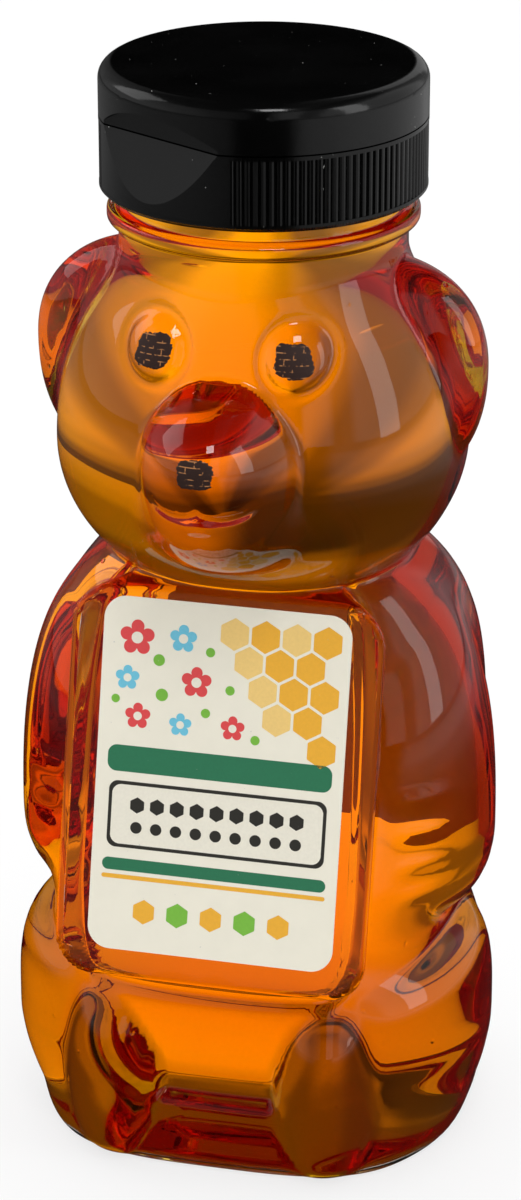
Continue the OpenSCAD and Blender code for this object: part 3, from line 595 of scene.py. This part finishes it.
def make_print(name, colour, layer, shapes):
    """Flat printed shapes on the front label as one piece. Each shape is a thin closed plate, and
    each layer lies over the one before."""
    low = LABEL_FACE + 0.005 + 0.012 * layer
    parts = []
    for kind, u, v, a, b in shapes:
        across, up = print_outline(kind, a, b)
        rings = np.stack([label_point(u + across, v + up, low + 0.01),
                          label_point(u + across, v + up, low)])
        ends = [label_point(np.array(u), np.array(v), lift) for lift in (low + 0.01, low)]
        parts.append(loft_parts(rings, ends[0], ends[1]))
    piece = new_piece(name, parts, smooth=False)
    piece.data.materials.append(label_ink(name + "_ink", colour))
    return piece


def make_hinge():
    """The living hinge: a thin strip bent round the cap, thinner along its middle, as a loft along
    its turn. Its section is z = Z + H cos a and r = R + T(z) sin a with rounded ends."""
    a = np.linspace(0, 2 * np.pi, 64, endpoint=False)
    up = np.sign(np.cos(a)) * np.abs(np.cos(a)) ** 0.5
    out = np.sign(np.sin(a)) * np.abs(np.sin(a)) ** 0.5
    thick = 0.2 * (1 - 0.55 * groove(up * HINGE_HALF, 0.8))
    turn = HINGE_TURN + np.radians(np.linspace(-15.4, 15.4, 41))[:, None]
    rings = grid_points(HINGE_R + thick * out + 0 * turn, turn, HINGE_Z + HINGE_HALF * up)
    ends = rings.mean(axis=1)
    piece = loft_mesh("hinge_strip", rings, ends[0], ends[-1])
    return piece


def new_material(name):
    """An empty node material: its node tree, its output's links and the material."""
    material = bpy.data.materials.new(name)
    material.use_nodes = True
    material.node_tree.nodes.clear()
    return material, material.node_tree


def add(tree, kind, **values):
    """A node with its inputs set by name."""
    node = tree.nodes.new(kind)
    for key, value in values.items():
        node.inputs[key.replace("_", " ")].default_value = value
    return node


def finish_material(tree, shader):
    """Links a shader to the material's output."""
    output = tree.nodes.new("ShaderNodeOutputMaterial")
    tree.links.new(shader.outputs[0], output.inputs["Surface"])
    return output


def new_group(name, inputs, outputs):
    """An empty node group with named sockets: its tree, its input node and its output node."""
    tree = bpy.data.node_groups.new(name, "ShaderNodeTree")
    for title, kind in inputs:
        tree.interface.new_socket(title, in_out="INPUT", socket_type="NodeSocket" + kind)
    for title, kind in outputs:
        tree.interface.new_socket(title, in_out="OUTPUT", socket_type="NodeSocket" + kind)
    return tree, tree.nodes.new("NodeGroupInput"), tree.nodes.new("NodeGroupOutput")


def mix_colours(tree, share, first, second):
    """Mixes two colour sockets by a share."""
    mix = tree.nodes.new("ShaderNodeMix")
    mix.data_type = "RGBA"
    tree.links.new(share, mix.inputs[0])
    tree.links.new(first, mix.inputs[6])
    tree.links.new(second, mix.inputs[7])
    return mix.outputs[2]


def surface_grain():
    """Group for the skin of a moulded, printed or foamed surface: patches of a second shade, pale
    specks of dust, a roughness that varies with the patches, and a fine grain in relief."""
    name = "surface_grain"
    if name in bpy.data.node_groups:
        return bpy.data.node_groups[name]
    tree, given, result = new_group(
        name,
        (("Colour", "Color"), ("Shade", "Color"), ("Dust", "Color"), ("Patch Scale", "Float"),
         ("Grain Scale", "Float"), ("Dust Level", "Float"), ("Smoothest", "Float"),
         ("Roughest", "Float"), ("Relief", "Float")),
        (("Colour", "Color"), ("Roughness", "Float"), ("Normal", "Vector")))
    place = tree.nodes.new("ShaderNodeTexCoord").outputs["Object"]
    patches = add(tree, "ShaderNodeTexNoise", Detail=4.0)
    grain = add(tree, "ShaderNodeTexNoise", Detail=3.0)
    dust = add(tree, "ShaderNodeTexNoise", Scale=2200.0, Detail=1.0)
    for noise in (patches, grain, dust):
        tree.links.new(place, noise.inputs["Vector"])
    tree.links.new(given.outputs["Patch Scale"], patches.inputs["Scale"])
    tree.links.new(given.outputs["Grain Scale"], grain.inputs["Scale"])
    share = add(tree, "ShaderNodeMapRange", From_Min=0.35, From_Max=0.65)
    tree.links.new(patches.outputs["Fac"], share.inputs["Value"])
    colour = mix_colours(tree, share.outputs[0], given.outputs["Colour"], given.outputs["Shade"])
    specks = add(tree, "ShaderNodeMapRange", From_Max=0.85)
    tree.links.new(given.outputs["Dust Level"], specks.inputs["From Min"])
    tree.links.new(dust.outputs["Fac"], specks.inputs["Value"])
    colour = mix_colours(tree, specks.outputs[0], colour, given.outputs["Dust"])
    rough = tree.nodes.new("ShaderNodeMapRange")
    tree.links.new(patches.outputs["Fac"], rough.inputs["Value"])
    tree.links.new(given.outputs["Smoothest"], rough.inputs["To Min"])
    tree.links.new(given.outputs["Roughest"], rough.inputs["To Max"])
    bump = add(tree, "ShaderNodeBump", Distance=0.0001)
    tree.links.new(given.outputs["Relief"], bump.inputs["Strength"])
    tree.links.new(grain.outputs["Fac"], bump.inputs["Height"])
    tree.links.new(colour, result.inputs["Colour"])
    tree.links.new(rough.outputs[0], result.inputs["Roughness"])
    tree.links.new(bump.outputs["Normal"], result.inputs["Normal"])
    return tree


def grained(tree, shader, colour, shade, **values):
    """Feeds a shader's colour, roughness and normal from the surface grain."""
    node = tree.nodes.new("ShaderNodeGroup")
    node.node_tree = surface_grain()
    node.inputs["Colour"].default_value = (*colour, 1)
    node.inputs["Shade"].default_value = (*shade, 1)
    node.inputs["Dust"].default_value = (0.5, 0.5, 0.48, 1)
    node.inputs["Dust Level"].default_value = 0.8
    for key, value in values.items():
        node.inputs[key.replace("_", " ")].default_value = value
    tree.links.new(node.outputs["Colour"], shader.inputs["Base Color"])
    tree.links.new(node.outputs["Roughness"], shader.inputs["Roughness"])
    tree.links.new(node.outputs["Normal"], shader.inputs["Normal"])


def clear_plastic():
    """Clear polyester against air: a faint waviness from blowing and a few tiny pits."""
    material, tree = new_material("clear_polyester")
    place = tree.nodes.new("ShaderNodeTexCoord").outputs["Object"]
    waves = add(tree, "ShaderNodeTexNoise", Scale=45.0, Detail=2.0)
    pits = add(tree, "ShaderNodeTexVoronoi", Scale=150.0)
    tree.links.new(place, waves.inputs["Vector"])
    tree.links.new(place, pits.inputs["Vector"])
    deep = add(tree, "ShaderNodeMapRange", From_Min=0.02, From_Max=0.06)
    tree.links.new(pits.outputs["Distance"], deep.inputs["Value"])
    slow = add(tree, "ShaderNodeBump", Strength=0.08, Distance=0.001)
    tree.links.new(waves.outputs["Fac"], slow.inputs["Height"])
    bump = add(tree, "ShaderNodeBump", Strength=0.5, Distance=0.0001)
    tree.links.new(deep.outputs[0], bump.inputs["Height"])
    tree.links.new(slow.outputs["Normal"], bump.inputs["Normal"])
    shader = add(tree, "ShaderNodeBsdfPrincipled", Base_Color=(1, 1, 1, 1), Roughness=0.015,
                 IOR=1.57, Transmission_Weight=1.0)
    tree.links.new(bump.outputs["Normal"], shader.inputs["Normal"])
    finish_material(tree, shader)
    return material


def wetted_plastic():
    """The same polyester where honey touches it."""
    material, tree = new_material("clear_polyester_wetted")
    shader = add(tree, "ShaderNodeBsdfPrincipled", Base_Color=(1, 1, 1, 1), Roughness=0.0,
                 IOR=1.054, Transmission_Weight=1.0)
    finish_material(tree, shader)
    return material


def honey_stuff():
    """Honey: no bending at its skin, which the wetted wall has already given, and absorption."""
    colours = bpy.context.scene.bottle_colours
    material, tree = new_material("light_amber_honey")
    shader = add(tree, "ShaderNodeBsdfPrincipled", Base_Color=(1, 1, 1, 1), Roughness=0.0,
                 IOR=1.0, Transmission_Weight=1.0)
    output = finish_material(tree, shader)
    absorb = add(tree, "ShaderNodeVolumeAbsorption", Color=(*colours.honey, 1),
                 Density=colours.honey_density)
    tree.links.new(absorb.outputs[0], output.inputs["Volume"])
    return material


def printed_ink():
    """Brown ink from a printing mesh, so thin level gaps and a few upright ones show through."""
    colours = bpy.context.scene.bottle_colours
    material, tree = new_material("brown_print_ink")
    coordinate = tree.nodes.new("ShaderNodeTexCoord")
    noise = add(tree, "ShaderNodeTexNoise", Scale=1100.0, Detail=2.0)
    tree.links.new(coordinate.outputs["Object"], noise.inputs["Vector"])
    mapping = tree.nodes.new("ShaderNodeMapping")
    mapping.inputs["Rotation"].default_value = (np.pi / 2, 0, 0)
    mapping.inputs["Scale"].default_value = (1000, 1000, 1000)
    tree.links.new(coordinate.outputs["Object"], mapping.inputs["Vector"])
    rows = add(tree, "ShaderNodeTexBrick", Scale=1.0, Mortar_Size=0.07, Mortar_Smooth=0.4)
    rows.inputs["Brick Width"].default_value = 2.2
    rows.inputs["Row Height"].default_value = 0.7
    tree.links.new(mapping.outputs["Vector"], rows.inputs["Vector"])
    worn = tree.nodes.new("ShaderNodeMapRange")
    worn.inputs["From Min"].default_value = 0.5
    worn.inputs["From Max"].default_value = 0.62
    tree.links.new(noise.outputs["Fac"], worn.inputs["Value"])
    gaps = product(tree, rows.outputs["Fac"], worn.outputs["Result"])
    ramp = tree.nodes.new("ShaderNodeValToRGB")
    ramp.color_ramp.elements[0].color = (*colours.ink, 1)
    ramp.color_ramp.elements[1].position = 0.6
    ramp.color_ramp.elements[1].color = (0.42, 0.17, 0.05, 1)
    tree.links.new(gaps, ramp.inputs["Fac"])
    shader = add(tree, "ShaderNodeBsdfPrincipled", Roughness=0.55)
    tree.links.new(ramp.outputs["Color"], shader.inputs["Base Color"])
    finish_material(tree, shader)
    return material


def cap_plastic():
    """Moulded black polypropylene with a faint orange-peel, duller patches and specks of dust."""
    colours = bpy.context.scene.bottle_colours
    material, tree = new_material("black_moulded_plastic")
    shader = add(tree, "ShaderNodeBsdfPrincipled", IOR=1.49)
    grained(tree, shader, colours.cap_black, (0.0016, 0.0016, 0.0016), Patch_Scale=120.0,
            Grain_Scale=900.0, Dust_Level=0.8, Smoothest=0.06, Roughest=0.2, Relief=0.12)
    finish_material(tree, shader)
    return material


def label_film(name, through):
    """Cream label film with a fine tooth, which lets a share of the light through."""
    cream = bpy.context.scene.bottle_colours.cream
    material, tree = new_material(name)
    shader = add(tree, "ShaderNodeBsdfPrincipled", IOR=1.3, Transmission_Weight=through)
    grained(tree, shader, cream, [0.975 * v for v in cream], Patch_Scale=300.0, Grain_Scale=1800.0,
            Smoothest=0.34, Roughest=0.46, Relief=0.14)
    finish_material(tree, shader)
    return material


def label_ink(name, colour):
    """Printing ink on the label, a little uneven, as a press lays it down."""
    material, tree = new_material(name)
    shader = tree.nodes.new("ShaderNodeBsdfPrincipled")
    grained(tree, shader, colour, [0.96 * v for v in colour], Patch_Scale=2600.0, Grain_Scale=1800.0,
            Smoothest=0.3, Roughest=0.42, Relief=0.14)
    finish_material(tree, shader)
    return material


def seal_foil():
    """Rolled aluminium foil, slightly crinkled by the heat that seals it."""
    material, tree = new_material("seal_foil")
    shader = add(tree, "ShaderNodeBsdfPrincipled", Metallic=1.0)
    grained(tree, shader, (0.8, 0.8, 0.82), (0.7, 0.7, 0.72), Patch_Scale=200.0, Grain_Scale=350.0,
            Smoothest=0.22, Roughest=0.4, Relief=0.6)
    finish_material(tree, shader)
    return material


def white_foam():
    """White closed-cell foam."""
    material, tree = new_material("white_foam")
    shader = tree.nodes.new("ShaderNodeBsdfPrincipled")
    grained(tree, shader, (0.85, 0.85, 0.82), (0.74, 0.74, 0.7), Patch_Scale=900.0,
            Grain_Scale=1400.0, Smoothest=0.7, Roughest=0.9, Relief=0.9)
    finish_material(tree, shader)
    return material


def dress(node, material):
    """Gives a carried-over solid a new material."""
    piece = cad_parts[node]
    piece.data.materials.clear()
    piece.data.materials.append(material)
    return piece


class OBJECT_OT_bear_bottle(bpy.types.Operator):
    """Makes the clear bottle"""
    bl_idname = "object.bear_bottle"
    bl_label = "Clear bottle"

    def execute(self, context):
        piece = make_bottle(context.scene.bottle_sizes)
        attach(piece, BEAR)
        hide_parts("bottle")
        return {"FINISHED"}


class OBJECT_OT_bear_honey(bpy.types.Operator):
    """Makes the honey"""
    bl_idname = "object.bear_honey"
    bl_label = "Honey"

    def execute(self, context):
        piece = make_honey(context.scene.bottle_sizes)
        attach(piece, BEAR)
        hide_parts("honey")
        return {"FINISHED"}


class OBJECT_OT_bear_face(bpy.types.Operator):
    """Prints the eyes and the nose"""
    bl_idname = "object.bear_face"
    bl_label = "Printed face"

    def execute(self, context):
        spots = (
            ("left_eye", EYE_X, EYE_Z, 4.6, 4.0, 1),
            ("right_eye", -EYE_X, EYE_Z, 4.6, 4.0, 2),
            ("nose", 0.0, NOSE_Z, 4.5, 3.5, 3),
        )
        for node, x, z, width, height, seed in spots:
            piece = make_spot(node + "_print", x, z, width, height, seed)
            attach(piece, BEAR)
            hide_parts(node)
        return {"FINISHED"}


class OBJECT_OT_bear_labels(bpy.types.Operator):
    """Finishes the labels and prints the front one"""
    bl_idname = "object.bear_labels"
    bl_label = "Labels"

    def execute(self, context):
        dress("front_label", label_film("cream_label_film", 0.0))
        dress("back_label", label_film("thin_label_film", 0.35))
        for name, key, layer, shapes in LABEL_PRINT:
            colour = getattr(context.scene.bottle_colours, key)
            piece = make_print(name, colour, layer, shapes)
            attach(piece, BEAR)
        return {"FINISHED"}


class OBJECT_OT_bear_cap(bpy.types.Operator):
    """Finishes the cap, its lid and hinge, and the seals"""
    bl_idname = "object.bear_cap"
    bl_label = "Cap"

    def execute(self, context):
        black = cap_plastic()
        for node in ("cap_base", "lid"):
            dress(node, black)
        hinge = make_hinge()
        hinge.data.materials.append(black)
        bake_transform(hinge)
        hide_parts("hinge_strap")
        dress("foil_seal", seal_foil())
        dress("seal_ring", white_foam())
        return {"FINISHED"}


def area_light(name, place, aim, size, power, shine=True):
    """A soft rectangular lamp that looks at a point. Glass doesn't show it, and gloss only where it
    shines."""
    data = bpy.data.lights.new(name, "AREA")
    data.shape = "RECTANGLE"
    data.size, data.size_y = size
    data.energy = power
    lamp = bpy.data.objects.new(name, data)
    lamp.location = place
    direction = np.array(aim) - np.array(place)
    lamp.rotation_euler = Vector(direction).to_track_quat("-Z", "Y").to_euler()
    lamp.visible_transmission = False
    lamp.visible_glossy = shine
    bpy.context.scene.collection.objects.link(lamp)


def ray_masks(tree):
    """Sockets that are 1 for rays from the camera, for reflected rays and for rays through glass."""
    path = tree.nodes.new("ShaderNodeLightPath")
    through = path.outputs["Is Transmission Ray"]
    gloss = tree.nodes.new("ShaderNodeMath")
    gloss.operation = "SUBTRACT"
    gloss.use_clamp = True
    tree.links.new(path.outputs["Is Glossy Ray"], gloss.inputs[0])
    tree.links.new(through, gloss.inputs[1])
    return path.outputs["Is Camera Ray"], gloss.outputs[0], through


def light_ramp(tree, value, low, high, stops):
    """Brightness over a value between low and high, from stops of place and grey."""
    span = tree.nodes.new("ShaderNodeMapRange")
    span.inputs["From Min"].default_value = low
    span.inputs["From Max"].default_value = high
    tree.links.new(value, span.inputs["Value"])
    ramp = tree.nodes.new("ShaderNodeValToRGB")
    ramp.color_ramp.interpolation = "EASE"
    elements = ramp.color_ramp.elements
    while len(elements) < len(stops):
        elements.new(0.5)
    for element, (place, grey) in zip(elements, stops):
        element.position = (place - low) / (high - low)
        element.color = (grey, grey, grey, 1)
    tree.links.new(span.outputs["Result"], ramp.inputs["Fac"])
    return ramp.outputs["Color"]


def choose(tree, mask, shader, other):
    """Shader where the mask is 0 and the other where it is 1."""
    mix = tree.nodes.new("ShaderNodeMixShader")
    tree.links.new(mask, mix.inputs[0])
    tree.links.new(shader.outputs[0], mix.inputs[1])
    tree.links.new(other.outputs[0], mix.inputs[2])
    return mix


def coloured(tree, kind, colour, strength=1.0):
    """An emission or background that takes its colour from a socket."""
    node = add(tree, kind, Strength=strength)
    tree.links.new(colour, node.inputs["Color"])
    return node


def sideways(tree, vector, direction):
    """How far a vector points in a direction."""
    dot = tree.nodes.new("ShaderNodeVectorMath")
    dot.operation = "DOT_PRODUCT"
    dot.inputs[1].default_value = direction
    tree.links.new(vector, dot.inputs[0])
    return dot.outputs["Value"]


def product(tree, a, b):
    """Two greys multiplied."""
    node = tree.nodes.new("ShaderNodeMath")
    node.operation = "MULTIPLY"
    tree.links.new(a, node.inputs[0])
    tree.links.new(b, node.inputs[1])
    return node.outputs[0]


def floor_material():
    """A pale table top. It lights the bottle as plain grey paper would, and the camera sees it white apart
    from the shadow. Glass sees it with painted shadows: dark right under the bottle and in a band on each
    side, white around it and dimmer far off. Gloss sees painted shade: nearly black near the bottle and
    straight towards the camera, brighter further off and to the right."""
    material, tree = new_material("pale_floor_painted_shade")
    place = tree.nodes.new("ShaderNodeTexCoord").outputs["Object"]
    far = tree.nodes.new("ShaderNodeVectorMath")
    far.operation = "LENGTH"
    tree.links.new(place, far.inputs[0])
    unit = tree.nodes.new("ShaderNodeVectorMath")
    unit.operation = "NORMALIZE"
    tree.links.new(place, unit.inputs[0])
    camera, gloss, through = ray_masks(tree)
    # Painted shadow for glass: dark under the bottle, white around it, dimmer far off
    near = light_ramp(tree, far.outputs["Value"], 0.0, 1.5, FLOOR_THROUGH_PAINTED_SHADOW)
    # Painted shadows for glass: a dark band on each side of the bottle
    painted_side_shadows = light_ramp(tree, sideways(tree, place, STUDIO_RIGHT), -0.5, 0.5, FLOOR_ASIDE_PAINTED_SHADOWS)
    # Painted shade and light for gloss: dark near the bottle, lighter to the right, dark straight towards
    # the camera
    gloss_painted_shade = light_ramp(tree, far.outputs["Value"], 0.0, 1.5, FLOOR_GLOSS_PAINTED_SHADE)
    side = light_ramp(tree, sideways(tree, unit.outputs[0], STUDIO_RIGHT), -1.0, 1.0, FLOOR_SIDES_PAINTED_LIGHT)
    gap = light_ramp(tree, sideways(tree, unit.outputs[0], STUDIO_FRONT), -1.0, 1.0, FLOOR_GAP_PAINTED_SHADE)
    # shine: the floor's painted shade and light as gloss sees it
    shine = product(tree, product(tree, gloss_painted_shade, side), gap)
    lit = add(tree, "ShaderNodeBsdfDiffuse", Color=(0.9, 0.9, 0.9, 1))
    white = add(tree, "ShaderNodeEmission", Color=(1, 1, 1, 1), Strength=1.0)
    pale = light_ramp(tree, far.outputs["Value"], 0.0, 3.0, FLOOR_WHITE)
    shader = choose(tree, camera, lit, choose(tree, pale, lit, white))
    shader = choose(tree, gloss, shader, coloured(tree, "ShaderNodeEmission", shine))
    # What glass sees of the floor: a little brighter than white, with the painted shadows multiplied in
    seen = coloured(tree, "ShaderNodeEmission", product(tree, near, painted_side_shadows), 1.35)
    shader = choose(tree, through, shader, seen)
    finish_material(tree, shader)
    return material


def studio_world():
    """White to the camera, plain grey as light, and to glass and gloss a dark room with pale walls."""
    world = bpy.data.worlds.new("studio")
    world.use_nodes = True
    tree = world.node_tree
    tree.nodes.clear()
    towards = tree.nodes.new("ShaderNodeTexCoord").outputs["Generated"]
    height = sideways(tree, towards, (0, 0, 1))
    camera, gloss, through = ray_masks(tree)
    shader = add(tree, "ShaderNodeBackground", Color=(1, 1, 1, 1), Strength=WORLD_LIGHT)
    white = add(tree, "ShaderNodeBackground", Color=(1, 1, 1, 1), Strength=1.0)
    across = sideways(tree, towards, STUDIO_RIGHT)
    side = light_ramp(tree, across, -1.0, 1.0, ROOM_SIDES)
    shine = product(tree, light_ramp(tree, height, -1.0, 1.0, ROOM_GLOSS), side)
    far_left, left, right = [light_ramp(tree, height, -1.0, 1.0, stops)
                             for stops in (ROOM_FAR_LEFT, ROOM_LEFT, ROOM_RIGHT)]
    beyond = mix_colours(tree, light_ramp(tree, across, -1.0, 1.0, ROOM_EDGE), far_left, left)
    beyond = mix_colours(tree, light_ramp(tree, across, -1.0, 1.0, ROOM_TURN), beyond, right)
    shader = choose(tree, gloss, shader, coloured(tree, "ShaderNodeBackground", shine))
    shader = choose(tree, through, shader, coloured(tree, "ShaderNodeBackground", beyond))
    shader = choose(tree, camera, shader, white)
    output = tree.nodes.new("ShaderNodeOutputWorld")
    tree.links.new(shader.outputs[0], output.inputs["Surface"])
    return world


class OBJECT_OT_bear_stage(bpy.types.Operator):
    """Makes the floor, the light and the camera"""
    bl_idname = "object.bear_stage"
    bl_label = "Stage"

    def execute(self, context):
        studio = context.scene.bottle_studio
        half = studio.floor_size / 2
        mesh = bpy.data.meshes.new("floor")
        corners = [(-half, -half, 0), (half, -half, 0), (half, half, 0), (-half, half, 0)]
        mesh.from_pydata(corners, [], [(0, 1, 2, 3)])
        floor = bpy.data.objects.new("floor", mesh)
        context.scene.collection.objects.link(floor)
        mesh.materials.append(floor_material())
        context.scene.world = studio_world()
        middle = (0, 0, 0.08)
        area_light("left_softbox", (-1.0, 0.15, 0.75), middle, (0.7, 0.7), 1.6)
        area_light("right_softbox", (1.0, -0.18, 0.47), middle, (0.35, 0.9), 1.6)
        area_light("top_softbox", (0.0, 0.3, 1.3), middle, (1.1, 1.1), 6.0, shine=False)
        area_light("front_softbox", (0.25, -0.6, 1.25), middle, (0.3, 0.3), 2.0)

        data = bpy.data.cameras.new("camera")
        data.sensor_fit = "VERTICAL"
        data.sensor_height = 24.0
        data.lens = studio.lens
        data.shift_x = -0.00105
        data.shift_y = 0.00236
        data.clip_start = 0.01
        camera = bpy.data.objects.new("camera", data)
        camera.location = studio.camera_place
        camera.rotation_euler = Euler(
            (np.radians(90 - studio.camera_pitch), 0, np.radians(studio.camera_turn)), "XYZ")
        context.scene.collection.objects.link(camera)
        context.scene.camera = camera
        context.scene.view_settings.view_transform = "Standard"
        context.scene.cycles.max_bounces = 64
        context.scene.cycles.glossy_bounces = 64
        context.scene.cycles.transmission_bounces = 64
        return {"FINISHED"}


class VIEW3D_PT_bear_bottle(bpy.types.Panel):
    """Lists the bottle's pieces"""
    bl_label = "Honey bear bottle"
    bl_space_type = "VIEW_3D"
    bl_region_type = "UI"
    bl_category = "Bottle"

    def draw(self, context):
        for operator in OPERATORS:
            self.layout.operator(operator.bl_idname)
        for group in (context.scene.bottle_sizes, context.scene.bottle_colours,
                      context.scene.bottle_studio):
            for key in group.bl_rna.properties.keys():
                if key not in ("rna_type", "name"):
                    self.layout.prop(group, key)


GROUPS = (BodySizes, Colours, Studio)
OPERATORS = (
    OBJECT_OT_bear_bottle, OBJECT_OT_bear_honey, OBJECT_OT_bear_face, OBJECT_OT_bear_labels,
    OBJECT_OT_bear_cap, OBJECT_OT_bear_stage,
)


def register():
    """Registers the property groups, the operators and the panel."""
    for entry in GROUPS + OPERATORS + (VIEW3D_PT_bear_bottle,):
        bpy.utils.register_class(entry)
    bpy.types.Scene.bottle_sizes = bpy.props.PointerProperty(type=BodySizes)
    bpy.types.Scene.bottle_colours = bpy.props.PointerProperty(type=Colours)
    bpy.types.Scene.bottle_studio = bpy.props.PointerProperty(type=Studio)


def unregister():
    """Removes what register added."""
    del bpy.types.Scene.bottle_studio
    del bpy.types.Scene.bottle_colours
    del bpy.types.Scene.bottle_sizes
    for entry in reversed(GROUPS + OPERATORS + (VIEW3D_PT_bear_bottle,)):
        bpy.utils.unregister_class(entry)


def main():
    """Makes every piece."""
    register()
    bpy.ops.object.bear_bottle()
    bpy.ops.object.bear_honey()
    bpy.ops.object.bear_face()
    bpy.ops.object.bear_labels()
    bpy.ops.object.bear_cap()
    bpy.ops.object.bear_stage()


if __name__ == "__main__":
    main()
